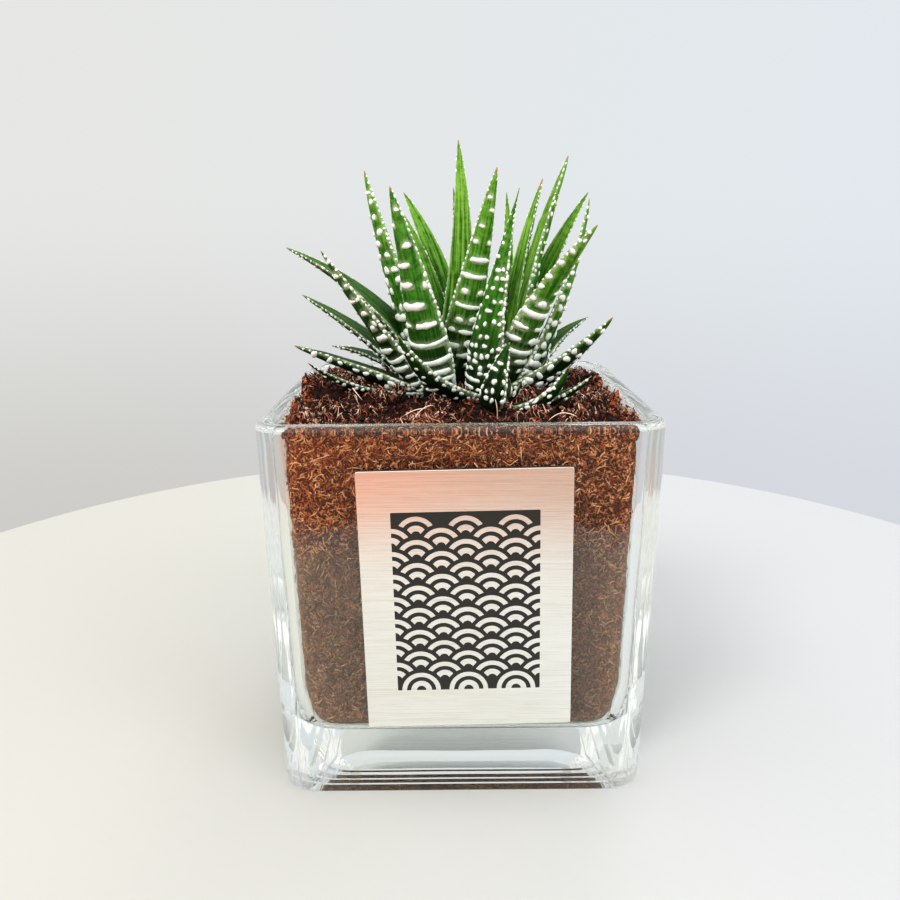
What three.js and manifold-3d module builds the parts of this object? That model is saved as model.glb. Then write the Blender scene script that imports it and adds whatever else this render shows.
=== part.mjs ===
// A zebra haworthia, a small succulent with white ridges across its leaves, potted in coir in a
// heavy glass cube with a plain badge plate on its front. Millimetres, +Z up, origin at the
// middle of the cube's underside, +X to the right and -Y to the front, where the badge is.
import * as THREE from "three";
import { mergeVertices } from "three/addons/utils/BufferGeometryUtils.js";
import Module from "manifold-3d";

const wasm = await Module();
wasm.setup();

// Driving dimensions of the glass cube.
const POT_WIDTH = 100; // across the rim
const POT_HEIGHT = 100;
const FOOT_WIDTH = 96; // across the underside: the cube tapers a little so that it leaves its mould
const RIM_WALL = 5.2;
const FLOOR_HEIGHT = 16; // solid glass under the cavity
const CAVITY_FOOT_WIDTH = 86; // across the cavity just above its rounded floor
const OUTER_CORNER = 8.5;
const INNER_CORNER = 6.5;
const CORNER_STEPS = 6; // facets round each corner
const FLOOR_FILLET = 8;
const FLOOR_RING = 14; // half width of the innermost ring of points on the cavity's floor
const RIM_ROUND = 1.6;
const FOOT_ROUND = 1.8;
const RECESS_WIDTH = 70; // shallow hollow in the underside, so that the cube stands on its edge
const RECESS_DEPTH = 0.8;

// Driving dimensions of what the cube holds.
const CLEARANCE = 0.3; // between pieces that touch
const SOIL_EDGE_LEVEL = 97; // height of the coir at the glass
const HEAPS = [
  { x: 5, y: 2, height: 3, radius: 26 }, // round the plant
  { x: -38, y: -4, height: 5.5, radius: 15 }, // where it was tipped in, at the left
];
const CRUMB_HEIGHT = 1.1;

// Driving dimensions of the badge.
const BADGE_WIDTH = 52;
const BADGE_LENGTH = 69;
const BADGE_THICKNESS = 1.3;
const BADGE_MIDDLE = { x: 1.3, height: 55.5 };
const BADGE_SKEW = 0.9; // degrees that it was stuck on askew
const BADGE_CORNER = 0.6;

// Driving dimensions of the plant: two heads of leaves and a young one from one rootstock.
const HEADS = {
  left: { x: -2, y: 6, drop: 0, stem: 3.2 },
  right: { x: 11, y: 1, drop: 0, stem: 3.2 },
  young: { x: 11, y: -20, drop: 1.5, stem: 2.7 },
};
const SKIN = { side: 0.35, ridge: 0.75 }; // room that a neighbour leaves round a leaf
const RIDGE_HEIGHT = 0.45; // of the white ridges across the back of each leaf
const RIDGES = 6;
const RIDGE_FADE = 2.2; // the ridges get lower over the last 1 / 2.2 of the leaf
const WIDEST = 0.25; // share of its length at which a leaf is widest
const BASE_SHARE = 0.84; // width of the clasping base, as a share of the full width
const BACK_DEPTH = 0.34; // of the full back and of the nearly flat inner face, as shares of
const FACE_DEPTH = 0.08; // the width
const TAPER = 0.74; // how the width falls to the tip: below 1 is full, above 1 is drawn out
// The leaves of a head stand in rings, from the young ones in its heart to the old ones outside.
// These are the rings of the tall heads; the young one's lie lower by its drop.
const RINGS = {
  heart: { radius: 2.5, height: 103 },
  middle: { radius: 5.5, height: 101 },
  outer: { radius: 8.5, height: 99 },
};

// Each leaf: its head and ring, the way its back faces in plan (degrees from +X towards +Y),
// where its tip is, how far its middle lies outwards and sideways (counterclockwise) of the
// straight line, its width, and its taper where it isn't the usual one.
const LEAVES = [
  ["left", "heart", 20, [4.5, 7, 138], [0.5, 0], 5.5],
  ["right", "heart", 100, [14, 3, 138], [0.5, 0], 5.5],
  ["left", "heart", 90, [0.5, 14, 169.5], [0, -2], 9.2],
  ["left", "heart", 110, [-1, 15, 156.5], [0, -2], 5.6],
  ["left", "heart", 280, [10.5, -8, 160.5], [0.5, -0.2], 10.8],
  ["right", "heart", 75, [14.5, 14, 155], [0, -1.4], 5.8],
  ["right", "heart", 30, [24.5, 10, 158.5], [-2.5, 0], 8.4],
  ["right", "heart", 12, [30.5, 2, 164], [-2.2, 0], 11.6],
  ["left", "middle", 85, [-16, 24, 155.5], [0, -4.5], 9.6],
  ["left", "middle", 110, [-16, 15, 149.5], [0, -3], 8.4],
  ["left", "middle", 214, [-25.5, 2, 160.5], [1, 0], 11.4],
  ["left", "outer", 248, [-17.5, -16, 155.5], [0.5, 0.8], 12.4],
  ["right", "outer", 234, [16, -14, 155], [0.5, -0.6], 11, 1.2],
  ["right", "heart", 308, [35.5, -20, 145.5], [-3.5, 0], 12.4],
  ["right", "middle", 50, [37, 6, 154.5], [-2, 2.2], 9],
  ["right", "middle", 350, [36, -2, 152.5], [2.2, 0.5], 9.6],
  ["left", "middle", 155, [-49, 6, 140], [-7.5, 0], 11],
  ["left", "outer", 212, [-36.5, -12, 139.5], [0, 0], 9.6],
  ["left", "outer", 155, [-45.5, 8, 126.5], [-3, 0], 9.4],
  ["left", "outer", 140, [-40, 26, 109], [-5, 0], 6.6],
  ["left", "outer", 192, [-46, -6, 113.5], [-1, 0], 12],
  ["left", "outer", 208, [-40.5, -18, 110.5], [3, 0], 7.6],
  ["right", "outer", 220, [-15.5, -26, 118.5], [3, 0], 10.8],
  ["young", "middle", 240, [13, -26, 116.5], [1, 0], 7.4],
  ["young", "middle", 320, [28, -28, 110.5], [2.5, 0], 8],
  ["young", "middle", 345, [35, -22, 107], [1.5, 0], 7],
  ["right", "outer", 350, [41.5, -2, 117], [0.5, 0], 7.6],
  ["right", "middle", 330, [41.5, -14, 121.5], [1, 0], 11.4],
  ["right", "outer", 38, [42, 30, 117], [-3, 0], 9.4],
  // Leaves at the back, behind the rest.
  ["left", "middle", 110, [-5.5, 30, 132], [2, 0], 9],
  ["left", "middle", 80, [1, 32, 142], [2, 0], 9],
  ["right", "middle", 72, [17, 30, 134], [2, 0], 9],
  ["right", "middle", 42, [26.5, 24, 129], [2, 0], 8.6],
  ["left", "outer", 138, [-20, 26, 127], [1, 0], 8.4],
  ["left", "outer", 105, [-9, 43, 116], [1, 0], 8.6],
  ["right", "outer", 80, [13, 43, 117], [1, 0], 8.6],
  ["right", "outer", 55, [27, 38, 114], [1, 0], 8.2],
  ["right", "outer", 12, [28, 16, 111], [1, 0], 7.6],
  // The young head's heart.
  ["young", "heart", 60, [13.6, -17, 105.5], [0.5, 0], 3.4],
  ["young", "heart", 340, [16, -20.5, 104.5], [0.5, 0], 3.4],
];

const STEM = { foot: 88, top: 105 }; // heights; a stem tapers over its ends
const RUNNERS = [
  ["left", "right"],
  ["right", "young"],
];
const RUNNER_RADII = [1.9, 2.2, 1.9];
const ROOTS = 6;
const ROOT = { radius: 1.3, length: 46, droop: 62 }; // droop in degrees over its length

const UPRIGHT = new THREE.Vector3(0, 0, 1);
const radians = THREE.MathUtils.degToRad;

// Closed skin over a run of rings with the same number of points, its ends filled with fans.
function skinGeometry(rings) {
  const count = rings[0].length;
  const positions = rings.flat().flatMap((p) => [p.x, p.y, p.z]);
  const faces = [];
  for (let r = 0; r + 1 < rings.length; r++) {
    for (let k = 0; k < count; k++) {
      const a = r * count + k;
      const b = r * count + ((k + 1) % count);
      faces.push(a, b, b + count, a, b + count, a + count);
    }
  }
  for (const [ring, start] of [[rings[0], 0], [rings.at(-1), (rings.length - 1) * count]]) {
    const middle = ring.reduce((sum, p) => sum.add(p), new THREE.Vector3()).divideScalar(count);
    const hub = positions.length / 3;
    positions.push(middle.x, middle.y, middle.z);
    for (let k = 0; k < count; k++) {
      const a = start + k;
      const b = start + ((k + 1) % count);
      faces.push(...(start === 0 ? [b, a, hub] : [a, b, hub]));
    }
  }
  const geometry = new THREE.BufferGeometry();
  geometry.setAttribute("position", new THREE.Float32BufferAttribute(positions, 3));
  geometry.setIndex(faces);
  return signedVolume(geometry) < 0 ? turnedOut(geometry) : geometry;
}

function signedVolume(geometry) {
  const p = geometry.getAttribute("position");
  const index = geometry.getIndex();
  const corner = [0, 1, 2].map(() => new THREE.Vector3());
  let sum = 0;
  for (let i = 0; i < index.count; i += 3) {
    corner.forEach((c, k) => c.fromBufferAttribute(p, index.getX(i + k)));
    sum += corner[0].dot(corner[1].cross(corner[2])) / 6;
  }
  return sum;
}

function turnedOut(geometry) {
  const index = geometry.getIndex().array;
  for (let i = 0; i < index.length; i += 3) {
    [index[i + 1], index[i + 2]] = [index[i + 2], index[i + 1]];
  }
  return geometry;
}

function solidOf(geometry) {
  const bare = new THREE.BufferGeometry();
  bare.setAttribute("position", geometry.getAttribute("position"));
  bare.setIndex(geometry.getIndex());
  const merged = mergeVertices(bare, 1e-4);
  return new wasm.Manifold(
    new wasm.Mesh({
      numProp: 3,
      vertProperties: merged.getAttribute("position").array,
      triVerts: new Uint32Array(merged.getIndex().array),
    }),
  );
}

function geometryOf(solid) {
  const mesh = solid.getMesh();
  const geometry = new THREE.BufferGeometry();
  geometry.setAttribute("position", new THREE.Float32BufferAttribute(mesh.vertProperties, 3));
  geometry.setIndex(Array.from(mesh.triVerts));
  return geometry;
}

// The largest body of a solid, without the loose scraps that a cut can leave.
function largestBody(solid) {
  return solid.decompose().sort((a, b) => b.volume() - a.volume())[0];
}

// A square with round corners at one height, as a ring of points: steps along each side, then
// round each corner.
function squareRing(half, corner, z, sideSteps) {
  const r = Math.min(corner, half * 0.98);
  const flat = 2 * (half - r);
  const side = Array.from({ length: sideSteps }, (_, k) => [half, flat * (k / sideSteps - 0.5)]);
  const turn = Array.from({ length: CORNER_STEPS }, (_, k) => {
    const a = (k / CORNER_STEPS) * (Math.PI / 2);
    return [half - r + r * Math.cos(a), flat / 2 + r * Math.sin(a)];
  });
  return [0, 1, 2, 3].flatMap((quarter) =>
    [...side, ...turn].map(([x, y]) =>
      new THREE.Vector3(x, y, z).applyAxisAngle(UPRIGHT, (quarter * Math.PI) / 2),
    ),
  );
}

// Half the cube's outer width at a height.
const outerHalf = (z) => (FOOT_WIDTH + ((POT_WIDTH - FOOT_WIDTH) * z) / POT_HEIGHT) / 2;

// Half the cavity's width at a height above its fillet.
function cavityHalf(z) {
  const low = FLOOR_HEIGHT + FLOOR_FILLET;
  const rim = POT_WIDTH / 2 - RIM_WALL;
  return CAVITY_FOOT_WIDTH / 2 + ((rim - CAVITY_FOOT_WIDTH / 2) * (z - low)) / (POT_HEIGHT - low);
}

// The cavity's fillet and floor: [half width, height] from the middle of the floor to the wall.
function cavityFloor(gap) {
  const wall = CAVITY_FOOT_WIDTH / 2 - gap;
  const steps = [0, 22.5, 45, 67.5, 90];
  const fillet = steps.map((a) => [
    wall - FLOOR_FILLET * (1 - Math.sin(radians(a))),
    FLOOR_HEIGHT + gap + FLOOR_FILLET * (1 - Math.cos(radians(a))),
  ]);
  return [[FLOOR_RING, FLOOR_HEIGHT + gap], ...fillet];
}

function glassPot() {
  const sideSteps = 3;
  const foot = outerHalf(0);
  const rim = outerHalf(POT_HEIGHT);
  const innerRim = rim - RIM_WALL;
  const outside = [
    [RECESS_WIDTH / 2 - 2, RECESS_DEPTH],
    [RECESS_WIDTH / 2, 0],
    [foot - FOOT_ROUND, 0],
    [foot - FOOT_ROUND * 0.3, FOOT_ROUND * 0.3],
    [outerHalf(FOOT_ROUND), FOOT_ROUND],
    [outerHalf(POT_HEIGHT - RIM_ROUND), POT_HEIGHT - RIM_ROUND],
    [rim - RIM_ROUND * 0.3, POT_HEIGHT - RIM_ROUND * 0.3],
    [rim - RIM_ROUND, POT_HEIGHT],
  ].map(([half, z]) => squareRing(half, OUTER_CORNER, z, sideSteps));
  const inside = [
    [innerRim + RIM_ROUND, POT_HEIGHT],
    [innerRim + RIM_ROUND * 0.3, POT_HEIGHT - RIM_ROUND * 0.3],
    [cavityHalf(POT_HEIGHT - RIM_ROUND), POT_HEIGHT - RIM_ROUND],
    ...cavityFloor(0).reverse(),
  ].map(([half, z]) => squareRing(half, INNER_CORNER, z, sideSteps));
  return solidOf(skinGeometry([...outside, ...inside]));
}

// Height of the coir: level at the glass but for its heaps, with crumbs from two waves.
function soilHeight(x, y) {
  const crumb =
    Math.sin(0.72 * x + 1.9 * Math.sin(0.31 * y)) * Math.cos(0.66 * y + 1.4 * Math.sin(0.43 * x));
  const heaped = HEAPS.reduce((sum, heap) => {
    const away = Math.hypot(x - heap.x, y - heap.y) / heap.radius;
    return sum + heap.height * Math.exp(-away * away);
  }, 0);
  return SOIL_EDGE_LEVEL + heaped + CRUMB_HEIGHT * crumb;
}

function pottingMix() {
  const sideSteps = 5;
  const topRings = 8;
  const edge = cavityHalf(SOIL_EDGE_LEVEL) - CLEARANCE;
  const walls = [
    ...cavityFloor(CLEARANCE),
    [cavityHalf(SOIL_EDGE_LEVEL - 2) - CLEARANCE, SOIL_EDGE_LEVEL - CRUMB_HEIGHT - 2],
  ].map(([half, z]) => squareRing(half, INNER_CORNER - CLEARANCE, z, sideSteps));
  const top = Array.from({ length: topRings }, (_, k) => {
    const half = edge * (1 - k / topRings);
    return squareRing(half, INNER_CORNER - CLEARANCE, 0, sideSteps).map(
      (p) => new THREE.Vector3(p.x, p.y, soilHeight(p.x, p.y)),
    );
  });
  return solidOf(skinGeometry([...walls, ...top]));
}

// The badge: a flat plate with small round corners, drawn upright and then leant on the glass.
function badgeMesh(material) {
  const w = BADGE_WIDTH / 2;
  const h = BADGE_LENGTH / 2;
  const r = BADGE_CORNER;
  const outline = new THREE.Shape();
  outline.moveTo(-w + r, -h);
  outline.lineTo(w - r, -h);
  outline.quadraticCurveTo(w, -h, w, -h + r);
  outline.lineTo(w, h - r);
  outline.quadraticCurveTo(w, h, w - r, h);
  outline.lineTo(-w + r, h);
  outline.quadraticCurveTo(-w, h, -w, h - r);
  outline.lineTo(-w, -h + r);
  outline.quadraticCurveTo(-w, -h, -w + r, -h);
  const geometry = new THREE.ExtrudeGeometry(outline, {
    depth: BADGE_THICKNESS,
    bevelEnabled: false,
    curveSegments: 3,
  });
  const mesh = new THREE.Mesh(geometry, material);
  const lean = Math.atan((POT_WIDTH - FOOT_WIDTH) / 2 / POT_HEIGHT);
  mesh.name = "badge_plate";
  mesh.rotation.order = "ZXY";
  mesh.rotation.set(Math.PI / 2 + lean, 0, 0);
  mesh.rotateZ(radians(BADGE_SKEW));
  mesh.position.set(
    BADGE_MIDDLE.x,
    -outerHalf(BADGE_MIDDLE.height) - CLEARANCE,
    BADGE_MIDDLE.height,
  );
  return mesh;
}

// Share of a leaf's full width at a point along it: clasping base, widest low down, long point.
function widthShare(s, taper) {
  if (s < WIDEST) return BASE_SHARE + (1 - BASE_SHARE) * Math.sin((s / WIDEST) * (Math.PI / 2));
  return Math.pow(1 - (s - WIDEST) / (1 - WIDEST), taper);
}

// Moves the ends of a run of points outwards, to give what follows it some room.
function lengthened(path, room) {
  const [first, second] = path;
  const [before, last] = path.slice(-2);
  const back = first.clone().sub(second).normalize();
  const ahead = last.clone().sub(before).normalize();
  first.addScaledVector(back, room);
  last.addScaledVector(ahead, room);
  return path;
}

// A leaf's midrib at evenly spaced stations, with the directions across it and out of its face.
function midrib([head, ring, facing, tip, [sag, sway]], stations, room) {
  const a = radians(facing);
  const outward = new THREE.Vector3(Math.cos(a), Math.sin(a), 0);
  const sideways = new THREE.Vector3(-Math.sin(a), Math.cos(a), 0);
  const { x, y, drop } = HEADS[head];
  const root = new THREE.Vector3(x, y, RINGS[ring].height - drop);
  root.addScaledVector(outward, RINGS[ring].radius);
  const end = new THREE.Vector3(...tip);
  const chord = end.clone().sub(root).normalize();
  const bend = outward.clone().addScaledVector(chord, -outward.dot(chord)).normalize();
  const handle = root.clone().lerp(end, 0.5);
  handle.addScaledVector(bend, 2 * sag).addScaledVector(sideways, 2 * sway);
  const curve = new THREE.QuadraticBezierCurve3(root, handle, end);
  const path = lengthened(curve.getSpacedPoints(stations - 1), room);
  return path.map((p, i) => {
    const s = i / (stations - 1);
    const along = curve.getTangentAt(s);
    const across = sideways.clone().addScaledVector(along, -sideways.dot(along)).normalize();
    return { s, p, across, up: along.clone().cross(across) };
  });
}

// One leaf: eight-sided sections along its midrib, flat on the inner face and full on the back,
// where every other section stands out as a ridge. With room given, its smooth outer envelope.
function leafSolid(leaf, room = null) {
  const [width, taper = TAPER] = leaf.slice(5);
  const frames = midrib(leaf, room ? RIDGES + 2 : 2 * RIDGES + 2, room ? room.side : 0);
  const sections = frames.map(({ s, p, across, up }, i) => {
    const share = widthShare(Math.min(s, 0.99), taper);
    const half = (width / 2) * share + (room ? room.side : 0);
    const ridge = i % 2 === 1 ? RIDGE_HEIGHT * Math.min(1, RIDGE_FADE * (1 - s)) : 0;
    const back = BACK_DEPTH * width * Math.pow(share, 0.8) + (room ? room.ridge : ridge);
    const face = FACE_DEPTH * width * share + (room ? room.side : 0);
    return Array.from({ length: 8 }, (_, k) => {
      const a = (k * Math.PI) / 4;
      return p
        .clone()
        .addScaledVector(across, half * Math.cos(a))
        .addScaledVector(up, (Math.sin(a) > 0 ? face : back) * Math.sin(a));
    });
  });
  return solidOf(skinGeometry(sections));
}

// A tapering round limb along a run of points.
function limbSolid(path, radii, sides) {
  const rings = path.map((p, i) => {
    const ahead = path[Math.min(i + 1, path.length - 1)];
    const behind = path[Math.max(i - 1, 0)];
    const along = ahead.clone().sub(behind).normalize();
    const across = Math.abs(along.z) > 0.9 ? new THREE.Vector3(1, 0, 0) : new THREE.Vector3(0, 0, 1);
    const u = across.cross(along).normalize();
    const v = along.clone().cross(u);
    return Array.from({ length: sides }, (_, k) => {
      const a = (2 * Math.PI * k) / sides;
      return p
        .clone()
        .addScaledVector(u, radii[i] * Math.cos(a))
        .addScaledVector(v, radii[i] * Math.sin(a));
    });
  });
  return solidOf(skinGeometry(rings));
}

// The short stem of one head.
function stemSolid(head, room) {
  const profile = [
    [STEM.foot, 0.6],
    [STEM.foot + 4, 1],
    [STEM.top - 5, 1],
    [STEM.top, 0.4],
  ];
  const { x, y, drop, stem } = HEADS[head];
  const path = profile.map(([z]) => new THREE.Vector3(x, y, z - drop));
  const radii = profile.map(([, share]) => stem * share + room);
  return limbSolid(lengthened(path, room), radii, 8);
}

// A short runner under the mix that joins two heads.
function runnerSolid([from, to], room) {
  const ends = [HEADS[from], HEADS[to]].map(({ x, y }) => new THREE.Vector3(x, y, STEM.foot + 2));
  const middle = ends[0].clone().lerp(ends[1], 0.5);
  middle.z -= 2;
  const radii = RUNNER_RADII.map((r) => r + room);
  return limbSolid(lengthened([ends[0], middle, ends[1]], room), radii, 6);
}

// One of the thick roots, leaving the runner outwards and bending down.
function rootSolid(index, room) {
  const azimuth = (2 * Math.PI * (index + 0.3 * Math.sin(5 * index))) / ROOTS;
  const steps = 5;
  const length = ROOT.length * (0.8 + 0.2 * Math.cos(3 * index));
  const start = Math.cos(azimuth) > 0 ? HEADS.right : HEADS.left;
  const p = new THREE.Vector3(start.x, start.y, STEM.foot + 3);
  const path = [p.clone()];
  const radii = [ROOT.radius + room];
  for (let i = 1; i <= steps; i++) {
    const s = i / steps;
    const droop = radians(10 + ROOT.droop * s);
    const a = azimuth + 0.5 * Math.sin(2.4 * s + index);
    const along = new THREE.Vector3(
      Math.cos(droop) * Math.cos(a),
      Math.cos(droop) * Math.sin(a),
      -Math.sin(droop),
    );
    p.addScaledVector(along, length / steps);
    path.push(p.clone());
    radii.push(ROOT.radius * (1 - 0.65 * s) + room);
  }
  return limbSolid(lengthened(path, room), radii, 5);
}

function rootstock(room) {
  const roots = Array.from({ length: ROOTS }, (_, k) => rootSolid(k, room));
  const stems = Object.keys(HEADS).map((head) => stemSolid(head, room));
  const runners = RUNNERS.map((pair) => runnerSolid(pair, room));
  return [...runners, ...stems, ...roots].reduce((whole, limb) => whole.add(limb));
}

function mesh(name, solid, material) {
  const made = new THREE.Mesh(geometryOf(solid), material);
  made.name = name;
  return made;
}

const glass = new THREE.MeshStandardMaterial({ color: "#dfe8e6", roughness: 0.05, metalness: 0 });
const coir = new THREE.MeshStandardMaterial({ color: "#5f3523", roughness: 0.95, metalness: 0 });
const brushed = new THREE.MeshStandardMaterial({ color: "#d8d2c6", roughness: 0.35, metalness: 0.9 });
const rootSkin = new THREE.MeshStandardMaterial({ color: "#c9b58f", roughness: 0.8, metalness: 0 });
const leafSkins = {
  heart: new THREE.MeshStandardMaterial({ color: "#5f9a35", roughness: 0.5, metalness: 0 }),
  middle: new THREE.MeshStandardMaterial({ color: "#3f7a2b", roughness: 0.5, metalness: 0 }),
  outer: new THREE.MeshStandardMaterial({ color: "#2c5a26", roughness: 0.5, metalness: 0 }),
};

const plant = new THREE.Group();
const carved = Object.keys(HEADS).map((head) => stemSolid(head, SKIN.side));
LEAVES.forEach((leaf, index) => {
  const kept = largestBody(leafSolid(leaf).subtract(wasm.Manifold.union(carved)));
  carved.push(leafSolid(leaf, SKIN));
  plant.add(mesh(`leaf_${String(index + 1).padStart(2, "0")}`, kept, leafSkins[leaf[1]]));
});
plant.add(mesh("rootstock", rootstock(0), rootSkin));

const hollow = wasm.Manifold.union([rootstock(SKIN.side), ...carved]);
const part = new THREE.Group();
part.add(mesh("glass_pot", glassPot(), glass));
part.add(mesh("potting_mix", largestBody(pottingMix().subtract(hollow)), coir));
part.add(badgeMesh(brushed));
part.add(plant);

export default part;
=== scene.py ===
# A zebra haworthia, a small succulent with white tubercles across its leaves, potted in coir in a
# heavy glass cube with a plain engraved badge. Lengths are millimetres unless a line says otherwise.
from itertools import product
import bpy
import numpy as np
from mathutils import Matrix, Vector


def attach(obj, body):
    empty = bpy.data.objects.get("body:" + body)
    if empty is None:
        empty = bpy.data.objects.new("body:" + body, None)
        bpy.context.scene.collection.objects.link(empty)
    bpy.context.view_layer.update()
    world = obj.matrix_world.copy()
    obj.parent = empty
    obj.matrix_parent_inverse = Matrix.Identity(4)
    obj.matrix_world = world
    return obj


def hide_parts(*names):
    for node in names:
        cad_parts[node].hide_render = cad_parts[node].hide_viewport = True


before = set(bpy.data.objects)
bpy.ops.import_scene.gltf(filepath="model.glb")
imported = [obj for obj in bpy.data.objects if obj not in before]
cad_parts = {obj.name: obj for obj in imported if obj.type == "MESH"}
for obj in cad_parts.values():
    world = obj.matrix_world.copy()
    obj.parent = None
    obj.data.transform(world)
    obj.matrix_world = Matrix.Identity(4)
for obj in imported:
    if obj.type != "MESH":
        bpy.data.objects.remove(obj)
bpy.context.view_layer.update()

# The camera stands about 20 cm in front of the cube, a little above the leaves, and looks down
# on it by some 15 degrees. Its place and lens were worked out from the cube's corners.
MM = 0.001  # one millimetre in Blender's metres
CAMERA_AT = (-2.6, -242.95, 145.1)
CAMERA_DIP = 14.74  # degrees below level
CAMERA_ROLL = -0.492  # degrees
FILM_WIDTH = 36.0
LENS = 33.84

dip, roll = np.radians([CAMERA_DIP, CAMERA_ROLL])
ahead = Vector((0, np.cos(dip), -np.sin(dip)))
level = Vector((1, 0, 0))
rise = level.cross(ahead)
right = level * np.cos(roll) + rise * np.sin(roll)
upward = rise * np.cos(roll) - level * np.sin(roll)
lens = bpy.data.cameras.new("camera")
lens.sensor_width, lens.lens = FILM_WIDTH, LENS
lens.clip_start, lens.clip_end = 0.005, 20.0
camera = bpy.data.objects.new("camera", lens)
camera.matrix_world = Matrix((right, upward, -ahead)).transposed().to_4x4()
camera.location = Vector(CAMERA_AT) * MM
bpy.context.scene.collection.objects.link(camera)
bpy.context.scene.camera = camera
bpy.context.scene.view_settings.view_transform = "Standard"
bpy.context.scene.view_settings.look = "Medium High Contrast"


# The floor is a round matt board covered in fine off-white cloth, 53 cm across. It lies a hair
# below the cube, which stands on its own rim of glass.
FLOOR_RADIUS = 266.0
FLOOR_MIDDLE = (-3.0, 21.0)
FLOOR_EDGE = 6.0  # radius of the board's rounded edge
FLOOR_GAP = 0.15
THREAD = 0.9  # spacing of the cloth's threads, drawn coarser than real ones so that they show
CLOTH_TURN = 33.0  # degrees that the threads run off the cube's sides
CLOTH = ("#c9c7c0", "#c6c7c8")  # painted warm light on the left, painted cool light on the right
CLOTH_SPREAD = 160.0  # to both sides of the middle, over which the one turns into the other


def linear(colour, alpha=1.0):
    """An sRGB hex colour as linear light: c / 12.92 below 0.04045, else ((c + 0.055) / 1.055) ^ 2.4."""
    channels = np.array([int(colour[i : i + 2], 16) for i in (1, 3, 5)]) / 255
    light = np.where(channels <= 0.04045, channels / 12.92, ((channels + 0.055) / 1.055) ** 2.4)
    return (*light.tolist(), alpha)


def add(tree, kind, inputs=None, stops=(), **settings):
    """Adds a node: its settings, then each input as a value, a socket or a node, which stands for
    its first output in use, and then a colour ramp's stops, in rising order."""
    made = tree.nodes.new("ShaderNode" + kind)
    for name, value in settings.items():
        setattr(made, name, value)
    for name, value in (inputs or {}).items():
        if isinstance(value, bpy.types.Node):
            value = next(output for output in value.outputs if output.enabled)
        if isinstance(value, bpy.types.NodeSocket):
            tree.links.new(value, made.inputs[name])
        else:
            made.inputs[name].default_value = value
    for i, (place, colour) in enumerate(stops):
        element = made.color_ramp.elements[i] if i < 2 else made.color_ramp.elements.new(place)
        element.position, element.color = place, linear(colour)
    return made


def material(name):
    """A new material, its empty node tree and the object's own coordinates in it."""
    made = bpy.data.materials.new(name)
    made.use_nodes = True
    made.node_tree.nodes.clear()
    return made, made.node_tree, add(made.node_tree, "TexCoord").outputs["Object"]


def solid(name, points, faces, materials, looks=None, smooth=True, values=None):
    """A mesh object from points (n x 3), arrays of faces with 3 or 4 corners, the material number of
    each face, and named numbers for each point."""
    mesh = bpy.data.meshes.new(name)
    mesh.vertices.add(len(points))
    mesh.vertices.foreach_set("co", (np.asarray(points) * MM).astype(np.float32).ravel())
    corners = np.concatenate([part.ravel() for part in faces]).astype(np.int32)
    sizes = np.concatenate([np.full(len(part), part.shape[1]) for part in faces])
    mesh.loops.add(len(corners))
    mesh.loops.foreach_set("vertex_index", corners)
    mesh.polygons.add(len(sizes))
    mesh.polygons.foreach_set("loop_start", (np.cumsum(sizes) - sizes).astype(np.int32))
    mesh.polygons.foreach_set("use_smooth", np.full(len(sizes), smooth))
    if looks is not None:
        mesh.polygons.foreach_set("material_index", np.asarray(looks, np.int32))
    for key, value in (values or {}).items():
        layer = mesh.attributes.new(key, "FLOAT", "POINT")
        layer.data.foreach_set("value", np.asarray(value, np.float32).ravel())
    for finish in materials:
        mesh.materials.append(finish)
    mesh.update(calc_edges=True)
    mesh.validate()
    made = bpy.data.objects.new(name, mesh)
    bpy.context.scene.collection.objects.link(made)
    return made


def bands(first, rings, around):
    """Quads between neighbouring rings of points, which are numbered from first on."""
    here = np.arange(around)
    after = np.roll(here, -1)
    low = first + (np.arange(rings - 1) * around)[:, None]
    return np.stack([low + here, low + after, low + after + around, low + here + around], axis=-1)


def wrap(rings):
    """A closed skin over rings (rings x points x 3) that run anticlockwise seen from the last one:
    quads between neighbouring rings, and a fan of triangles to the middle of each end."""
    count, around = rings.shape[:2]
    here = np.arange(around)
    after = np.roll(here, -1)
    top = (count - 1) * around
    start = np.stack([after, here, np.full(around, count * around)], axis=-1)
    end = np.stack([top + here, top + after, np.full(around, count * around + 1)], axis=-1)
    points = np.concatenate([rings.reshape(-1, 3), [rings[0].mean(0), rings[-1].mean(0)]])
    return points, [bands(0, count, around).reshape(-1, 4), np.concatenate([start, end])]


def board():
    """A disc whose edge is a quarter circle that turns down: rings of 128 points."""
    bend = np.linspace(0, np.pi / 2, 8)
    radii = np.concatenate([FLOOR_RADIUS - FLOOR_EDGE + FLOOR_EDGE * np.cos(bend), [50.0, 5.0]])
    heights = np.concatenate([FLOOR_EDGE * np.sin(bend) - FLOOR_EDGE, [0.0, 0.0]]) - FLOOR_GAP
    turn = np.linspace(0, 2 * np.pi, 128, endpoint=False)
    x = FLOOR_MIDDLE[0] + radii[:, None] * np.cos(turn)
    y = FLOOR_MIDDLE[1] + radii[:, None] * np.sin(turn)
    return wrap(np.stack([x, y, heights[:, None] + 0 * x], axis=-1))


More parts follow.
